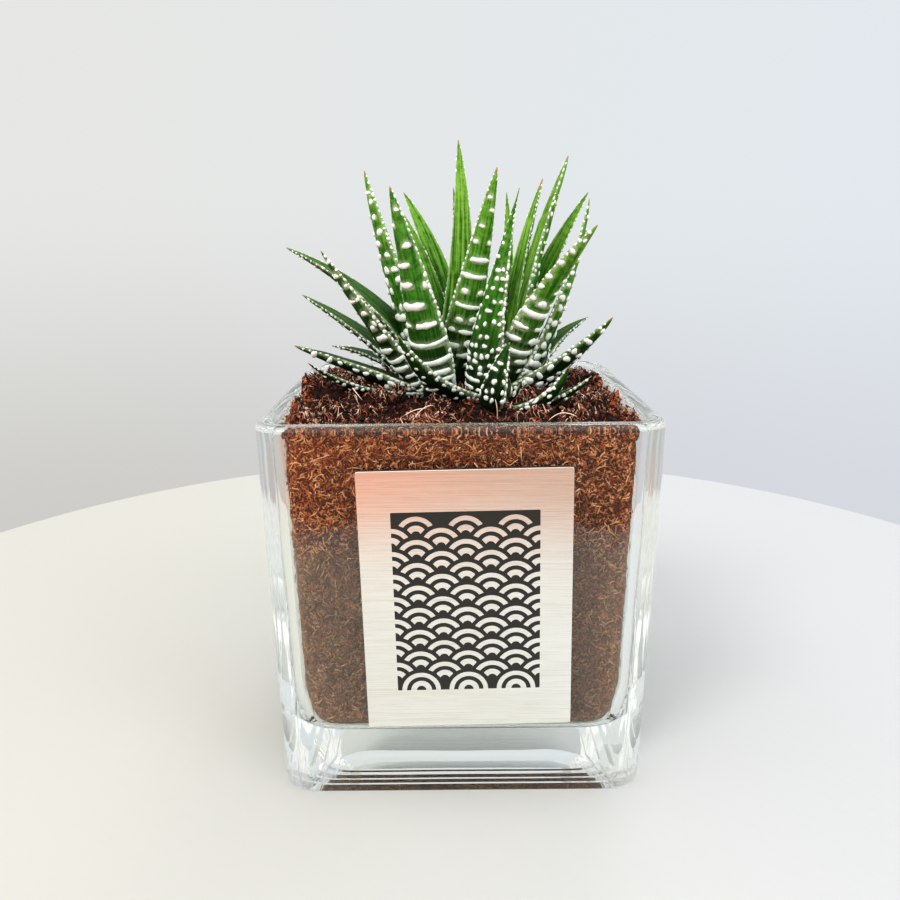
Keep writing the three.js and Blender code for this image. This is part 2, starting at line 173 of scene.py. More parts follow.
def cloth():
    """Plain-woven cotton: matt, with a faint grid of threads that only roughens the light."""
    made, tree, place = material("woven_cotton")
    turned = add(tree, "Mapping", {"Vector": place, "Rotation": (0.0, 0.0, np.radians(CLOTH_TURN))})
    thread = {"Vector": turned, "Scale": 1 / (THREAD * MM) / 20, "Distortion": 0.4}
    warp, weft = [add(tree, "TexWave", thread, bands_direction=axis).outputs["Fac"] for axis in "XY"]
    weave = add(tree, "Math", {0: warp, 1: weft}, operation="MAXIMUM")
    bump = add(tree, "Bump", {"Height": weave, "Strength": 0.25, "Distance": 0.1 * MM})
    # Painted light: the cloth's colour turns from warm on the left to cool on the right.
    across = add(tree, "SeparateXYZ", {0: place}).outputs["X"]
    spread = {"Value": across, "From Min": -CLOTH_SPREAD * MM, "From Max": CLOTH_SPREAD * MM}
    cool = add(tree, "MapRange", spread, interpolation_type="SMOOTHSTEP")
    colour = add(tree, "Mix", {0: cool, 6: linear(CLOTH[0]), 7: linear(CLOTH[1])}, data_type="RGBA")
    shader = add(tree, "BsdfPrincipled", {"Base Color": colour, "Roughness": 0.9, "Normal": bump})
    add(tree, "OutputMaterial", {0: shader})
    return made


floor = solid("floor", *board(), [cloth()])


# Plain soft light: a large lamp above on the left, a weaker one on the right, one behind that
# catches the leaves' edges, and a pale room round them that is dimmer behind the camera.
LAMPS = {
    "key": {"at": (-620, -750, 1120), "size": 480, "power": 6.2, "colour": "#fffdf9"},
    "fill": {"at": (520, -420, 520), "size": 380, "power": 1.0, "colour": "#f3f6ff"},
    "back": {"at": (150, 520, 600), "size": 320, "power": 0.8, "colour": "#f6f9ff"},
}
AIM = (0.0, -20.0, 90.0)
ROOM_BEHIND = {"high": ("#d6d7d5", "#d3d8dc"), "low": ("#c1c0bd", "#c8cbd1")}  # left, right
ROOM_FRONT = "#adaba9"
ROOM_FRONT_TOP = "#f2f1ee"  # the window side, high up behind the camera
WINDOW_LIFT = 0.5  # how much brighter than white the window side is
ROOM_LOW_FRONT = ("#ee9f80", "#c8a08a")  # warm light that the badge's upper part mirrors

for name, lamp in LAMPS.items():
    light = bpy.data.lights.new(name, "AREA")
    light.shape, light.size = "DISK", lamp["size"] * MM
    light.energy, light.color = lamp["power"], linear(lamp["colour"])[:3]
    holder = bpy.data.objects.new(name, light)
    holder.location = Vector(lamp["at"]) * MM
    holder.rotation_euler = (Vector(AIM) - Vector(lamp["at"])).to_track_quat("-Z", "Y").to_euler()
    holder.visible_transmission = False  # so that the glass shows no lamp
    bpy.context.scene.collection.objects.link(holder)

world = bpy.data.worlds.new("room")
world.use_nodes = True
room = world.node_tree
room.nodes.clear()
axes = add(room, "SeparateXYZ", {0: add(room, "TexCoord").outputs["Generated"]})
shares = {}
for name, axis, low, high in (
    ("right", "X", -0.45, 0.45),
    ("high", "Z", -0.32, 0.05),
    ("over_badge", "Z", -0.25, -0.15),
    ("right_of_badge", "X", -0.12, 0.12),
    ("behind", "Y", -0.5, 0.3),
    ("overhead", "Z", 0.1, 0.4),
):
    span = {"Value": axes.outputs[axis], "From Min": low, "From Max": high}
    shares[name] = add(room, "MapRange", span, interpolation_type="SMOOTHSTEP")
walls = {}
for name, share, *ends in (
    ("low_behind", "right", *ROOM_BEHIND["low"]),
    ("high_behind", "right", *ROOM_BEHIND["high"]),
    ("low_front", "right_of_badge", *ROOM_LOW_FRONT),
    ("front", "over_badge", "low_front", ROOM_FRONT),
    ("windowed", "overhead", "front", ROOM_FRONT_TOP),
    ("rear", "high", "low_behind", "high_behind"),
    ("all", "behind", "windowed", "rear"),
):
    low, high = [walls.get(end) or linear(end) for end in ends]
    walls[name] = add(room, "Mix", {0: shares[share], 6: low, 7: high}, data_type="RGBA")
lift = add(room, "Math", {0: shares["overhead"], 1: WINDOW_LIFT, 2: 1.0}, operation="MULTIPLY_ADD")
strength = add(room, "Mix", {0: shares["behind"], 2: lift, 3: 1.0}, data_type="FLOAT")
glow = add(room, "Background", {"Color": walls["all"], "Strength": strength})
add(room, "OutputWorld", {"Surface": glow})
bpy.context.scene.world = world


# The cube is one piece of clear soda-lime glass, pressed in a mould: 100 mm across the rim, with
# 5 mm walls, a floor of 16 mm and a stepped hollow under its foot. Fire polish has rounded its rim.
POT_WIDTH = 100.0
POT_HEIGHT = 100.0
FOOT_WIDTH = 96.0
RIM_WALL = 5.2
FLOOR_HEIGHT = 16.0
CAVITY_FOOT_WIDTH = 86.0
OUTER_CORNER = 8.5
INNER_CORNER = 4.0
FLOOR_FILLET = 3.0
FLOOR_CORNER = 6.0  # how much rounder the cavity's corners are at its floor
CORNER_RISE = 16.0  # height over which they lose it
RIM_ROUND = 1.6
FOOT_ROUND = 0.3
RECESS_WIDTH = 77.0
RECESS_DEPTH = 2.3
STEP_DEPTH = 0.97  # of the hollow's first, wider step, whose slope mirrors the coir as a dark band
STEP_RIM = 0.35  # width of the rim that the cube stands on
STEP_RUN = 2.4  # width of that slope
STEPS = ((1.1, 1.3, 0.52), (1.0, 1.3, 0.52))  # further steps: flat, slope and height of each
MOULD_WAVE = 0.16  # how far the pressed walls stray from flat
MOULD_STREAK = 0.15  # depth of the upright chill marks near the corners
BOUNCES = 40  # how often a ray may turn inside the glass; with fewer, its corners go black
GLASS_TINT = "#f7fbf9"


def square_rings(half, z, corner, along=20, turn=14):
    """Square rings with round corners, one for each half width and height: each quarter runs up
    one side in equal steps and round one corner by equal angles."""
    half, z, corner = (np.asarray(v, float)[:, None] for v in (half, z, corner))
    flat = half - corner
    step = np.linspace(-1, 1, along, endpoint=False)[None]
    angle = np.linspace(0, np.pi / 2, turn, endpoint=False)[None]
    x = np.concatenate([half + 0 * step, flat + corner * np.cos(angle)], axis=1)
    y = np.concatenate([flat * step, flat + corner * np.sin(angle)], axis=1)
    around_x = np.concatenate([x, -y, -x, y], axis=1)
    around_y = np.concatenate([y, x, -y, -x], axis=1)
    return np.stack([around_x, around_y, z + 0 * around_x], axis=-1)


def lumps(points, grain, seed):
    """Smooth noise from -1 to 1: a hashed value at each corner of a cubic lattice of the given
    grain, blended along each axis by the smooth step 3t^2 - 2t^3."""
    cell = np.floor(points / grain).astype(np.int64)
    t = points / grain - cell
    t = t * t * (3 - 2 * t)
    total = np.zeros(points.shape[:-1])
    for corner in product((0, 1), repeat=3):
        c = cell + np.array(corner)
        mixed = (c[..., 0] * 73856093) ^ (c[..., 1] * 19349663) ^ (c[..., 2] * 83492791)
        value = ((mixed ^ (seed * 2654435761)) * 2246822519 % 4294967291) / 2147483645.5 - 1
        total += value * np.prod(np.where(corner, t, 1 - t), axis=-1)
    return total


def outer_half(z):
    """Half the cube's outer width at height z: it widens evenly from foot to rim."""
    return (FOOT_WIDTH + (POT_WIDTH - FOOT_WIDTH) * np.asarray(z) / POT_HEIGHT) / 2


def cavity_half(z):
    """Half the cavity's width at height z above its rounded floor: it widens evenly to the rim."""
    low = FLOOR_HEIGHT + FLOOR_FILLET
    rise_share = (np.asarray(z) - low) / (POT_HEIGHT - low)
    return CAVITY_FOOT_WIDTH / 2 + (POT_WIDTH / 2 - RIM_WALL - CAVITY_FOOT_WIDTH / 2) * rise_share


def cavity_corner(z):
    """The radius of the cavity's upright corners at height z: rounder near its floor."""
    share = np.clip(1 - (np.asarray(z) - FLOOR_HEIGHT) / CORNER_RISE, 0, 1)
    return INNER_CORNER + FLOOR_CORNER * share**2


def crisp(profile):
    """A profile with each inner point made two, 0.04 mm to both sides, so that smooth shading
    bends only the edge between them."""
    profile = np.array(profile, float)
    step = np.diff(profile, axis=0)
    step *= 0.04 / np.linalg.norm(step, axis=1, keepdims=True)
    pairs = np.stack([profile[1:-1] - step[:-1], profile[1:-1] + step[1:]], axis=1)
    return np.concatenate([profile[:1], pairs.reshape(-1, 2), profile[-1:]])


def glass_cube():
    """One closed profile carried round square rings: the hollow, the foot's edge, the wall, half a
    turn over the rim, down the cavity's wall, round its fillet and in to the middle of its floor."""
    quarter = np.linspace(0, np.pi / 2, 7)
    flow, ebb = 1 - np.cos(quarter), 1 - np.sin(quarter)
    foot, rim = outer_half(0), outer_half(POT_HEIGHT)
    inner = rim - RIM_WALL
    edge = RECESS_WIDTH / 2
    steps = [(foot - STEP_RIM, 0.0), (foot - STEP_RIM - STEP_RUN, STEP_DEPTH)]
    for flat, slope, height in STEPS:
        at, depth = steps[-1]
        steps += [(at - flat, depth), (at - flat - slope, depth + height)]
    hollow = crisp([
        (edge / 2 + 2, RECESS_DEPTH), (edge - 0.6, RECESS_DEPTH), (edge, steps[-1][1]),
        *reversed(steps), (foot - FOOT_ROUND, 0.0),
    ])[:-1]
    up = np.linspace(FOOT_ROUND, POT_HEIGHT - RIM_ROUND, 40)[1:-1]
    low = FLOOR_HEIGHT + FLOOR_FILLET
    down = np.linspace(POT_HEIGHT - RIM_ROUND, low, 40)[1:-1]
    round_floor = low - FLOOR_FILLET * np.sin(quarter)
    profile = [
        ([4.0, RECESS_WIDTH / 4], [RECESS_DEPTH] * 2, [3.0, 6.0]),
        (*hollow.T, np.interp(hollow[:, 0], [RECESS_WIDTH / 2, foot], [8.5, 11.0])),
        (foot - FOOT_ROUND * ebb, FOOT_ROUND * flow, [OUTER_CORNER] * 7),
        (outer_half(up), up, [OUTER_CORNER] * len(up)),
        (rim - RIM_ROUND * flow, POT_HEIGHT - RIM_ROUND * ebb, [OUTER_CORNER] * 7),
        ((inner + RIM_ROUND * flow)[::-1], (POT_HEIGHT - RIM_ROUND * ebb)[::-1], [INNER_CORNER] * 7),
        (cavity_half(down), down, cavity_corner(down)),
        (CAVITY_FOOT_WIDTH / 2 - FLOOR_FILLET * flow, round_floor, cavity_corner(round_floor)),
        ([28.0, 20.0, 12.0, 4.0], [FLOOR_HEIGHT] * 4, [6.0, 6.0, 6.0, 3.0]),
    ]
    half, z, corner = (np.concatenate([part[i] for part in profile]) for i in range(3))
    rings = square_rings(half, z, corner)
    wave = MOULD_WAVE * np.abs(lumps(rings * np.array([1, 1, 0.35]), 11.0, 5))
    streak = MOULD_STREAK * np.abs(lumps(rings * np.array([1, 1, 0.12]), 1.7, 6))
    x, y, z = np.abs(np.moveaxis(rings, -1, 0))
    near_corner = np.clip((np.minimum(x, y) / np.maximum(np.maximum(x, y), 1) - 0.72) / 0.15, 0, 1)
    wall = np.clip(np.minimum(z - 1, 94 - z) / 6, 0, 1)
    outward = rings[..., :2] / np.maximum(np.hypot(x, y), 1)[..., None]
    rings[..., :2] += outward * ((wave + streak * near_corner) * wall)[..., None]
    return wrap(rings)


def soda_lime_glass():
    """Soda-lime glass: clear, with the faintest green, and mirror-smooth. Lamps shine through it,
    so that what it holds is lit."""
    made, tree, _ = material("pressed_clear_glass")
    tint = linear(GLASS_TINT)
    look = {"Base Color": tint, "Roughness": 0.0, "IOR": 1.5, "Transmission Weight": 1.0}
    shader = add(tree, "BsdfPrincipled", look)
    through = add(tree, "BsdfTransparent", {"Color": tint})
    shadow = add(tree, "LightPath").outputs["Is Shadow Ray"]
    add(tree, "OutputMaterial", {0: add(tree, "MixShader", {0: shadow, 1: shader, 2: through})})
    return made


for limit in ("max_bounces", "transmission_bounces", "glossy_bounces"):
    setattr(bpy.context.scene.cycles, limit, BOUNCES)
cube = solid("clear_cube", *glass_cube(), [soda_lime_glass()])
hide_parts("glass_pot")
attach(cube, "root")


# The potting mix is milled coconut coir: crumbs and short curled fibres, reddish brown, tipped in
# to the brim and heaped round the plant. Against the glass it lies flat, with dark gaps of painted
# shade.
GAP = 0.3  # between the mix and the glass
SOIL_EDGE_LEVEL = 97.0
HEAPS = [
    {"x": 5, "y": 2, "height": 3.0, "radius": 26},
    {"x": -38, "y": -4, "height": 5.5, "radius": 15},
]
CRUMB_HEIGHT = 1.1
CLUMPS = ((2.4, 5.6, 31), (1.5, 2.6, 32))  # height, grain and seed of the clumps
BRIM = 1.3  # how much higher the mix stands where it meets the glass
CRUMBS = 4200
STUCK_CRUMBS = 60  # that stick to the side walls above the mix
STUCK_BAND = (97.5, 99.6)  # heights between which they do
MOST_CRUMB = 0.85  # the largest crumb's size
CRUMB_REACH = 1.6  # how far its corners reach, as a share of it
CURLS = 12600  # fibres on top
PRESSED = 13200  # fibres against the glass
HIDDEN_MIDDLE, HIDDEN_HALF = (1, 55), (23, 31)  # the front's part behind the badge, across and up
HALF_LENGTHS = np.linspace(-0.5, 0.5, 3)  # a fibre's stations, as shares from its middle
FIBRE_TAPER = np.array([0.7, 1, 0.6])  # its thickness at them
STRAWS = [
    ((-12.5, -44, 98.5), (-9.5, -36, 103), (-6.3, -33.5, 101.5)),
    ((-14.5, -37, 99.5), (-11, -37.5, 102), (-8.5, -36.5, 101.5)),
    ((9.2, -36.7, 98.5), (9.4, -38.5, 101.5), (8.6, -39, 104.2)),
    ((-28.5, -15.6, 102.5), (-29.5, -20, 105), (-25.8, -22.4, 101)),
    ((22, -38, 98.5), (25, -36.5, 101.5), (29, -38.5, 99.5)),
]
STRAW_RADIUS = 0.15
LOOSE_TONES = ("#0a0301", "#451b0e", "#9a5030", "#dda080", "#ffdcc2")  # dark to straw
DAMP_TONES = ("#220500", "#5e1b03", "#ad4b12", "#dd8a4c", "#ffcb98")  # matted, and on the glass
COIR_FINES = "#967c66"  # dust on the inside of the glass
FINES_LEVEL, FINES_FADE, FINES_CLOUD = 74.0, 9.0, 14.0
MOST_DUSTED = 0.55


def clumps(x, y):
    """The coir's clumps: two grains of noise added together."""
    place = np.stack([x, y, 0 * x], axis=-1)
    return sum(height * lumps(place, grain, seed) for height, grain, seed in CLUMPS)


def soil_height(x, y):
    """Height of the coir: level at the glass but for its heaps, with crumbs from two waves, and
    clumps on top of them."""
    crumb = np.sin(0.72 * x + 1.9 * np.sin(0.31 * y)) * np.cos(0.66 * y + 1.4 * np.sin(0.43 * x))
    heaped = sum(
        heap["height"] * np.exp(-((x - heap["x"]) ** 2 + (y - heap["y"]) ** 2) / heap["radius"] ** 2)
        for heap in HEAPS
    )
    brim = np.clip((np.maximum(np.abs(x), np.abs(y)) - 38) / 5, 0, 1) ** 2
    return SOIL_EDGE_LEVEL - 0.4 + heaped + CRUMB_HEIGHT * crumb + clumps(x, y) + BRIM * brim


def coir_body():
    """Square rings up the walls, dented inwards by noise where grains don't reach the glass, and on
    to the middle of the top at the coir's height, with lumps of two sizes."""
    quarter = np.linspace(0, np.pi / 2, 6)
    wall = CAVITY_FOOT_WIDTH / 2 - GAP
    low = FLOOR_HEIGHT + FLOOR_FILLET
    up = np.linspace(low, SOIL_EDGE_LEVEL - 1.5, 76)[1:]
    inward = np.linspace(1, 0.04, 64)
    half = np.concatenate([
        [4.0, 20.0], wall - FLOOR_FILLET * (1 - np.sin(quarter)), cavity_half(up) - GAP,
        (cavity_half(SOIL_EDGE_LEVEL) - GAP) * inward,
    ])
    z = np.concatenate([
        [FLOOR_HEIGHT + GAP] * 2, FLOOR_HEIGHT + GAP + FLOOR_FILLET * (1 - np.cos(quarter)), up,
        np.full(len(inward), SOIL_EDGE_LEVEL),
    ])
    corner = np.minimum(cavity_corner(z) - GAP, half * 0.98)
    rings = square_rings(half, z, corner, along=84, turn=14)
    dent = 0.45 + np.abs(lumps(rings, 2.3, 11)) * 0.5 + np.abs(lumps(rings, 1.1, 12)) * 0.3
    sides = np.arange(len(half)) < len(half) - len(inward)
    rings[..., :2] *= 1 - (dent * sides[:, None] / np.maximum(half, 20)[:, None])[..., None]
    top = rings[~sides]
    lump = 0.35 * lumps(top, 1.3, 14)
    top[..., 2] = soil_height(top[..., 0], top[..., 1]) + lump - 0.2
    rings[~sides] = top
    # Painted shade: a lower tone over the sides and brim, lower still towards the middle of the top.
    shade = np.interp(np.arange(len(half)), [sides.sum() + 2, sides.sum() + 7], [-0.1, -0.6])
    shade = shade[:, None] + np.zeros(rings.shape[:2])
    points, faces = wrap(rings)
    return points, faces, {"tone": np.concatenate([shade.ravel(), [0.0, -0.5]])}


def tubes(paths, radii, sides):
    """Round strands along paths (strands x stations x 3): at each station a ring of points square
    to the path, quads between the rings, and a cap on each end."""
    count, stations = paths.shape[:2]
    along = np.gradient(paths, axis=1)
    along /= np.linalg.norm(along, axis=-1, keepdims=True)
    aside = np.cross(along, np.array([0.31, 0.23, 0.92]))
    aside /= np.linalg.norm(aside, axis=-1, keepdims=True)
    lift = np.cross(along, aside)
    turn = np.linspace(0, 2 * np.pi, sides, endpoint=False)
    ring = aside[:, :, None] * np.cos(turn)[:, None] + lift[:, :, None] * np.sin(turn)[:, None]
    points = paths[:, :, None] + ring * radii[:, :, None, None]
    here = np.arange(sides)
    base = (np.arange(count) * stations * sides)[:, None, None]
    start = base[:, 0] + here[::-1]
    end = base[:, 0] + (stations - 1) * sides + here
    return points.reshape(-1, 3), [bands(base, stations, sides).reshape(-1, 4), start, end]


def drawn_fibres(draw, count, grain, shortest, curl):
    """Each fibre's length, how far it bends, and the way it heads at three stations along it."""
    length = draw.gamma(3.0, grain, count) + shortest
    heading = draw.uniform(0, 2 * np.pi, count)
    bend = draw.normal(0, curl, count)
    return length[:, None], bend[:, None], heading[:, None] + bend[:, None] * HALF_LENGTHS


def curls():
    """Fibres that lie loosely on the coir: each bends one way by a drawn angle over its length.
    Those in the hollows between clumps are darker, as painted shade."""
    draw = np.random.default_rng(21)
    reach = cavity_half(SOIL_EDGE_LEVEL) - 1.2
    tried = draw.uniform(-reach, reach, (3 * CURLS, 2))
    crest = clumps(tried[:, 0], tried[:, 1]) / 3 + 0.6
    middle = tried[draw.random(3 * CURLS) < np.clip(crest, 0.1, 1)][:CURLS]
    middle = np.concatenate([middle, draw.uniform(-reach, reach, (CURLS - len(middle), 2))])
    length, bend, angle = drawn_fibres(draw, CURLS, 0.34, 0.5, 3.4)
    tilt = draw.normal(0, 0.5, CURLS)[:, None]
    x = np.cumsum(np.cos(angle) * (length / 2) * np.cos(tilt), axis=1)
    y = np.cumsum(np.sin(angle) * (length / 2) * np.cos(tilt), axis=1)
    x += middle[:, :1] - x.mean(1, keepdims=True)
    y += middle[:, 1:] - y.mean(1, keepdims=True)
    x, y = np.clip(x, -reach, reach), np.clip(y, -reach, reach)
    t = HALF_LENGTHS
    arch = 0.5 * np.abs(bend) * (0.25 - t**2) + length * t * np.sin(tilt)
    z = soil_height(x, y) + arch + draw.uniform(-0.3, 0.8, CURLS)[:, None]
    thick = draw.uniform(0.09, 0.19, CURLS)[:, None] * FIBRE_TAPER
    # Painted shade: fibres in the hollows between clumps get a lower tone.
    hollow = np.clip(0.72 + clumps(middle[:, 0], middle[:, 1]) / 3.2, 0.15, 1.15)
    hollow = np.where(np.abs(middle).max(axis=1) > reach - 3, 0.9, hollow)
    tone = np.repeat(draw.beta(0.55, 0.75, CURLS) * hollow, 3 * 3)
    points, faces = tubes(np.stack([x, y, z], axis=-1), thick, 3)
    return points, faces, {"tone": tone}


def pressed():
    """Fibres flat against the four walls: drawn on one wall's plane, then turned to each side."""
    draw = np.random.default_rng(22)
    top = SOIL_EDGE_LEVEL + 1.6
    z0 = draw.uniform(FLOOR_HEIGHT + 3, top, 2 * PRESSED)
    along = draw.uniform(-1, 1, 2 * PRESSED) * (cavity_half(z0) - cavity_corner(z0))
    side = draw.choice(4, 2 * PRESSED, p=(0.4, 0.2, 0.2, 0.2))
    off_middle = np.abs(np.stack([along, z0], axis=-1) - HIDDEN_MIDDLE)
    hidden = (side == 0) & (off_middle < HIDDEN_HALF).all(axis=1)
    z0, along, side = (v[~hidden][:PRESSED] for v in (z0, along, side))
    length, _, angle = drawn_fibres(draw, PRESSED, 0.42, 0.6, 1.2)
    x = along[:, None] + np.cumsum(np.cos(angle) * (length / 2), axis=1)
    limit = (cavity_half(z0) - 0.75 * cavity_corner(z0))[:, None]
    x = np.clip(x, -limit, limit)
    z = z0[:, None] + np.cumsum(np.sin(angle) * (length / 2), axis=1)
    z = np.clip(z, FLOOR_HEIGHT + 3, top)
    low = FLOOR_HEIGHT + FLOOR_FILLET
    fillet = np.clip(low - z, 0, FLOOR_FILLET)
    inset = FLOOR_FILLET - np.sqrt(FLOOR_FILLET**2 - np.minimum(fillet, FLOOR_FILLET - 0.4) ** 2)
    depth = GAP + 0.2 + draw.uniform(0.0, 0.4, PRESSED)[:, None] + inset
    y = -(cavity_half(z) - depth)
    turned_x = np.choose(side[:, None], [x, -y, -x, y])
    turned_y = np.choose(side[:, None], [y, x, -y, -x])
    thick = draw.uniform(0.12, 0.23, PRESSED)[:, None] * FIBRE_TAPER
    tone = np.repeat(draw.beta(0.55, 0.65, PRESSED), 3 * 3)
    points, faces = tubes(np.stack([turned_x, turned_y, z], axis=-1), thick, 3)
    return points, faces, {"tone": tone}


def crumbs():
    """Angular crumbs on the coir: icosahedra whose corners are each pushed in or out by a draw."""
    draw = np.random.default_rng(23)
    golden = (1 + 5**0.5) / 2
    ends = [(a * 1.0, b * golden) for a in (-1, 1) for b in (-1, 1)]
    corners = np.array(
        [(0, a, b) for a, b in ends] + [(a, b, 0) for a, b in ends] + [(b, 0, a) for a, b in ends]
    ) / np.hypot(1, golden)
    edge = np.linalg.norm(corners[:, None] - corners[None], axis=-1) < 1.1
    faces = np.array([
        (i, j, k) for i in range(12) for j in range(i + 1, 12) for k in range(j + 1, 12)
        if edge[i, j] and edge[j, k] and edge[i, k]
    ])
    a, b, c = (corners[faces[:, i]] for i in range(3))
    inside_out = np.einsum("ij,ij->i", np.cross(b - a, c - a), a) < 0
    faces[inside_out] = faces[inside_out][:, ::-1]
    reach = cavity_half(SOIL_EDGE_LEVEL) - 1.4
    size = 0.2 + draw.gamma(2.0, 0.12, CRUMBS)
    x, y = draw.uniform(-reach, reach, (2, CRUMBS))
    z = soil_height(x, y) + draw.uniform(-0.3, 0.8, CRUMBS)
    stuck = np.arange(CRUMBS) < STUCK_CRUMBS
    z = np.where(stuck, draw.uniform(*STUCK_BAND, CRUMBS), z)
    size = np.minimum(np.where(stuck, 0.6 * size, size), MOST_CRUMB)
    x = np.where(stuck, np.sign(x) * (cavity_half(z) - 0.1 - CRUMB_REACH * size), x)
    y = np.where(stuck, 0.86 * y, y)
    shape = corners[None] * draw.uniform(0.55, 1.25, (CRUMBS, 12, 1)) * size[:, None, None]
    shape *= draw.uniform(0.6, 1.3, (CRUMBS, 1, 3))
    points = shape + np.stack([x, y, z], axis=-1)[:, None]
    every = faces[None] + (np.arange(CRUMBS) * 12)[:, None, None]
    tone = np.repeat(draw.beta(0.9, 4.5, CRUMBS), 12)
    return points.reshape(-1, 3), [every.reshape(-1, 3)], {"tone": tone}


def dusted(tree, place, colour):
    """The coir's colour as seen through the dust on the glass: none at FINES_LEVEL, and more of it
    over FINES_FADE below. Clouds shift that level up and down by half of FINES_CLOUD."""
    height = add(tree, "SeparateXYZ", {0: place}).outputs["Z"]
    grain = {"Vector": place, "Scale": 1 / (9 * MM), "Detail": 3.0, "Roughness": 0.6}
    cloud = add(tree, "TexNoise", grain)
    cloudy = {0: cloud, 1: FINES_CLOUD * MM, 2: height}
    shifted = add(tree, "Math", cloudy, operation="MULTIPLY_ADD")
    top = FINES_LEVEL + FINES_CLOUD / 2
    span = {"Value": shifted, "From Min": top * MM, "From Max": (top - FINES_FADE) * MM}
    share = add(tree, "MapRange", {**span, "To Max": MOST_DUSTED})
    return add(tree, "Mix", {0: share, 6: colour, 7: linear(COIR_FINES)}, data_type="RGBA")


def straws():
    """A few longer dry straws, each a quadratic curve through its end, handle and end points."""
    start, handle, end = (np.array(STRAWS)[:, i] for i in range(3))
    t = np.linspace(0, 1, 9)[None, :, None]
    start, handle, end = start[:, None], handle[:, None], end[:, None]
    paths = (1 - t) ** 2 * start + 2 * t * (1 - t) * handle + t**2 * end
    thick = STRAW_RADIUS * (1 - 0.6 * np.linspace(-1, 1, 9) ** 4) + np.zeros((len(STRAWS), 1))
    points, faces = tubes(paths, thick, 6)
    return points, faces, {"tone": np.full(len(points), 0.97)}


def matted_coir():
    """Coir: dull, with curly ridges of matted fibre about half a millimetre apart, orange-brown on
    their crests and nearly black in the gaps, which is painted shade. The ridges are contour lines of
    three noises."""
    made, tree, place = material("milled_coir_matted")
    crossed = None
    for grain, lines in ((1.9, 5.0), (1.3, 4.0), (0.8, 2.5)):
        swirl = add(tree, "TexNoise", {"Vector": place, "Scale": 1 / (grain * MM), "Detail": 1.0})
        scaled = add(tree, "Math", {0: swirl, 1: lines}, operation="MULTIPLY")
        ridge = add(tree, "Math", {0: scaled, 1: 0.5}, operation="PINGPONG")
        if crossed is not None:
            ridge = add(tree, "Math", {0: crossed, 1: ridge, 2: 0.12}, operation="SMOOTH_MAX")
        crossed = ridge
    tone = add(tree, "Attribute", attribute_name="tone").outputs["Fac"]
    grain = {"Vector": place, "Scale": 1 / (1.6 * MM), "Detail": 3.0, "Roughness": 0.7}
    blotch = add(tree, "TexNoise", grain)
    sharp = add(tree, "MapRange", {"Value": crossed, "From Min": 0.2, "From Max": 0.5})
    # Painted shade: the gaps between ridges and the body's lowered tone go dark; the crests keep the
    # fibre's own orange-brown.
    lit = add(tree, "Math", {0: sharp, 1: tone}, operation="ADD")
    mixed = add(tree, "Math", {0: blotch, 1: lit}, operation="MULTIPLY")
    stops = zip((0.14, 0.22, 0.35, 0.56), (*DAMP_TONES[:3], DAMP_TONES[4]))
    colour = dusted(tree, place, add(tree, "ValToRGB", {0: mixed}, stops))
    bump = add(tree, "Bump", {"Height": sharp, "Strength": 0.8, "Distance": 0.3 * MM})
    shader = add(tree, "BsdfPrincipled", {"Base Color": colour, "Roughness": 0.95, "Normal": bump})
    add(tree, "OutputMaterial", {0: shader})
    return made


def loose_coir(name, tones):
    """Loose fibre and crumb: each has its own tone, from nearly black through red-brown to straw,
    with a slight shine along the fibres."""
    made, tree, place = material(name)
    tone = add(tree, "Attribute", attribute_name="tone").outputs["Fac"]
    mottle = add(tree, "TexNoise", {"Vector": place, "Scale": 1 / (0.7 * MM), "Detail": 1.0})
    shift = add(tree, "Math", {0: mottle, 1: 0.35, 2: tone}, operation="MULTIPLY_ADD")
    centred = add(tree, "Math", {0: shift, 1: 0.175}, operation="SUBTRACT")
    colour = add(tree, "ValToRGB", {0: centred}, zip((0.0, 0.25, 0.5, 0.78, 1.0), tones))
    look = {"Base Color": dusted(tree, place, colour), "Roughness": 0.7}
    add(tree, "OutputMaterial", {0: add(tree, "BsdfPrincipled", look)})
    return made


loose = loose_coir("milled_coir_loose", LOOSE_TONES)
wet = loose_coir("milled_coir_damp", DAMP_TONES)
body_points, body_faces, body_values = coir_body()
mix = solid("coir_mix", body_points, body_faces, [matted_coir()], values=body_values)
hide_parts("potting_mix")
for name, (points, faces, values) in {
    "coir_curls": curls(),
    "coir_pressed_fibres": pressed(),
    "coir_crumbs": crumbs(),
    "coir_straws": straws(),
}.items():
    finish = wet if name == "coir_pressed_fibres" else loose
    fibre = solid(name, points, faces, [finish], values=values, smooth=name != "coir_crumbs")
    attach(fibre, "root")
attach(mix, "root")


# The badge is two-ply engraving stock: a brushed metal foil on a black plastic core. The engraver
# has cut the foil away round a plain block of fish-scale arcs. It is stuck on slightly askew.
BADGE_WIDTH = 52.0
BADGE_LENGTH = 69.0
BADGE_THICKNESS = 1.3
BADGE_MIDDLE = (1.3, 55.5)
BADGE_SKEW = 0.9
BADGE_CORNER = 0.6
FOIL = 0.16
BLOCK_WIDTH = 36.0
BLOCK_LENGTH = 48.0
SCALES_ACROSS = 3
ARC_EDGES = ((0.2, 0.44), (0.62, 0.82))  # inner and outer radius of each foil arc, as shares
CORE_BLACK = "#2c2a26"
BRUSH_DARK, BRUSH_LIGHT = "#f2efe6", "#fffffa"
BRUSH_LINE = 0.22  # spacing of the brush lines, coarser than real ones so that they show


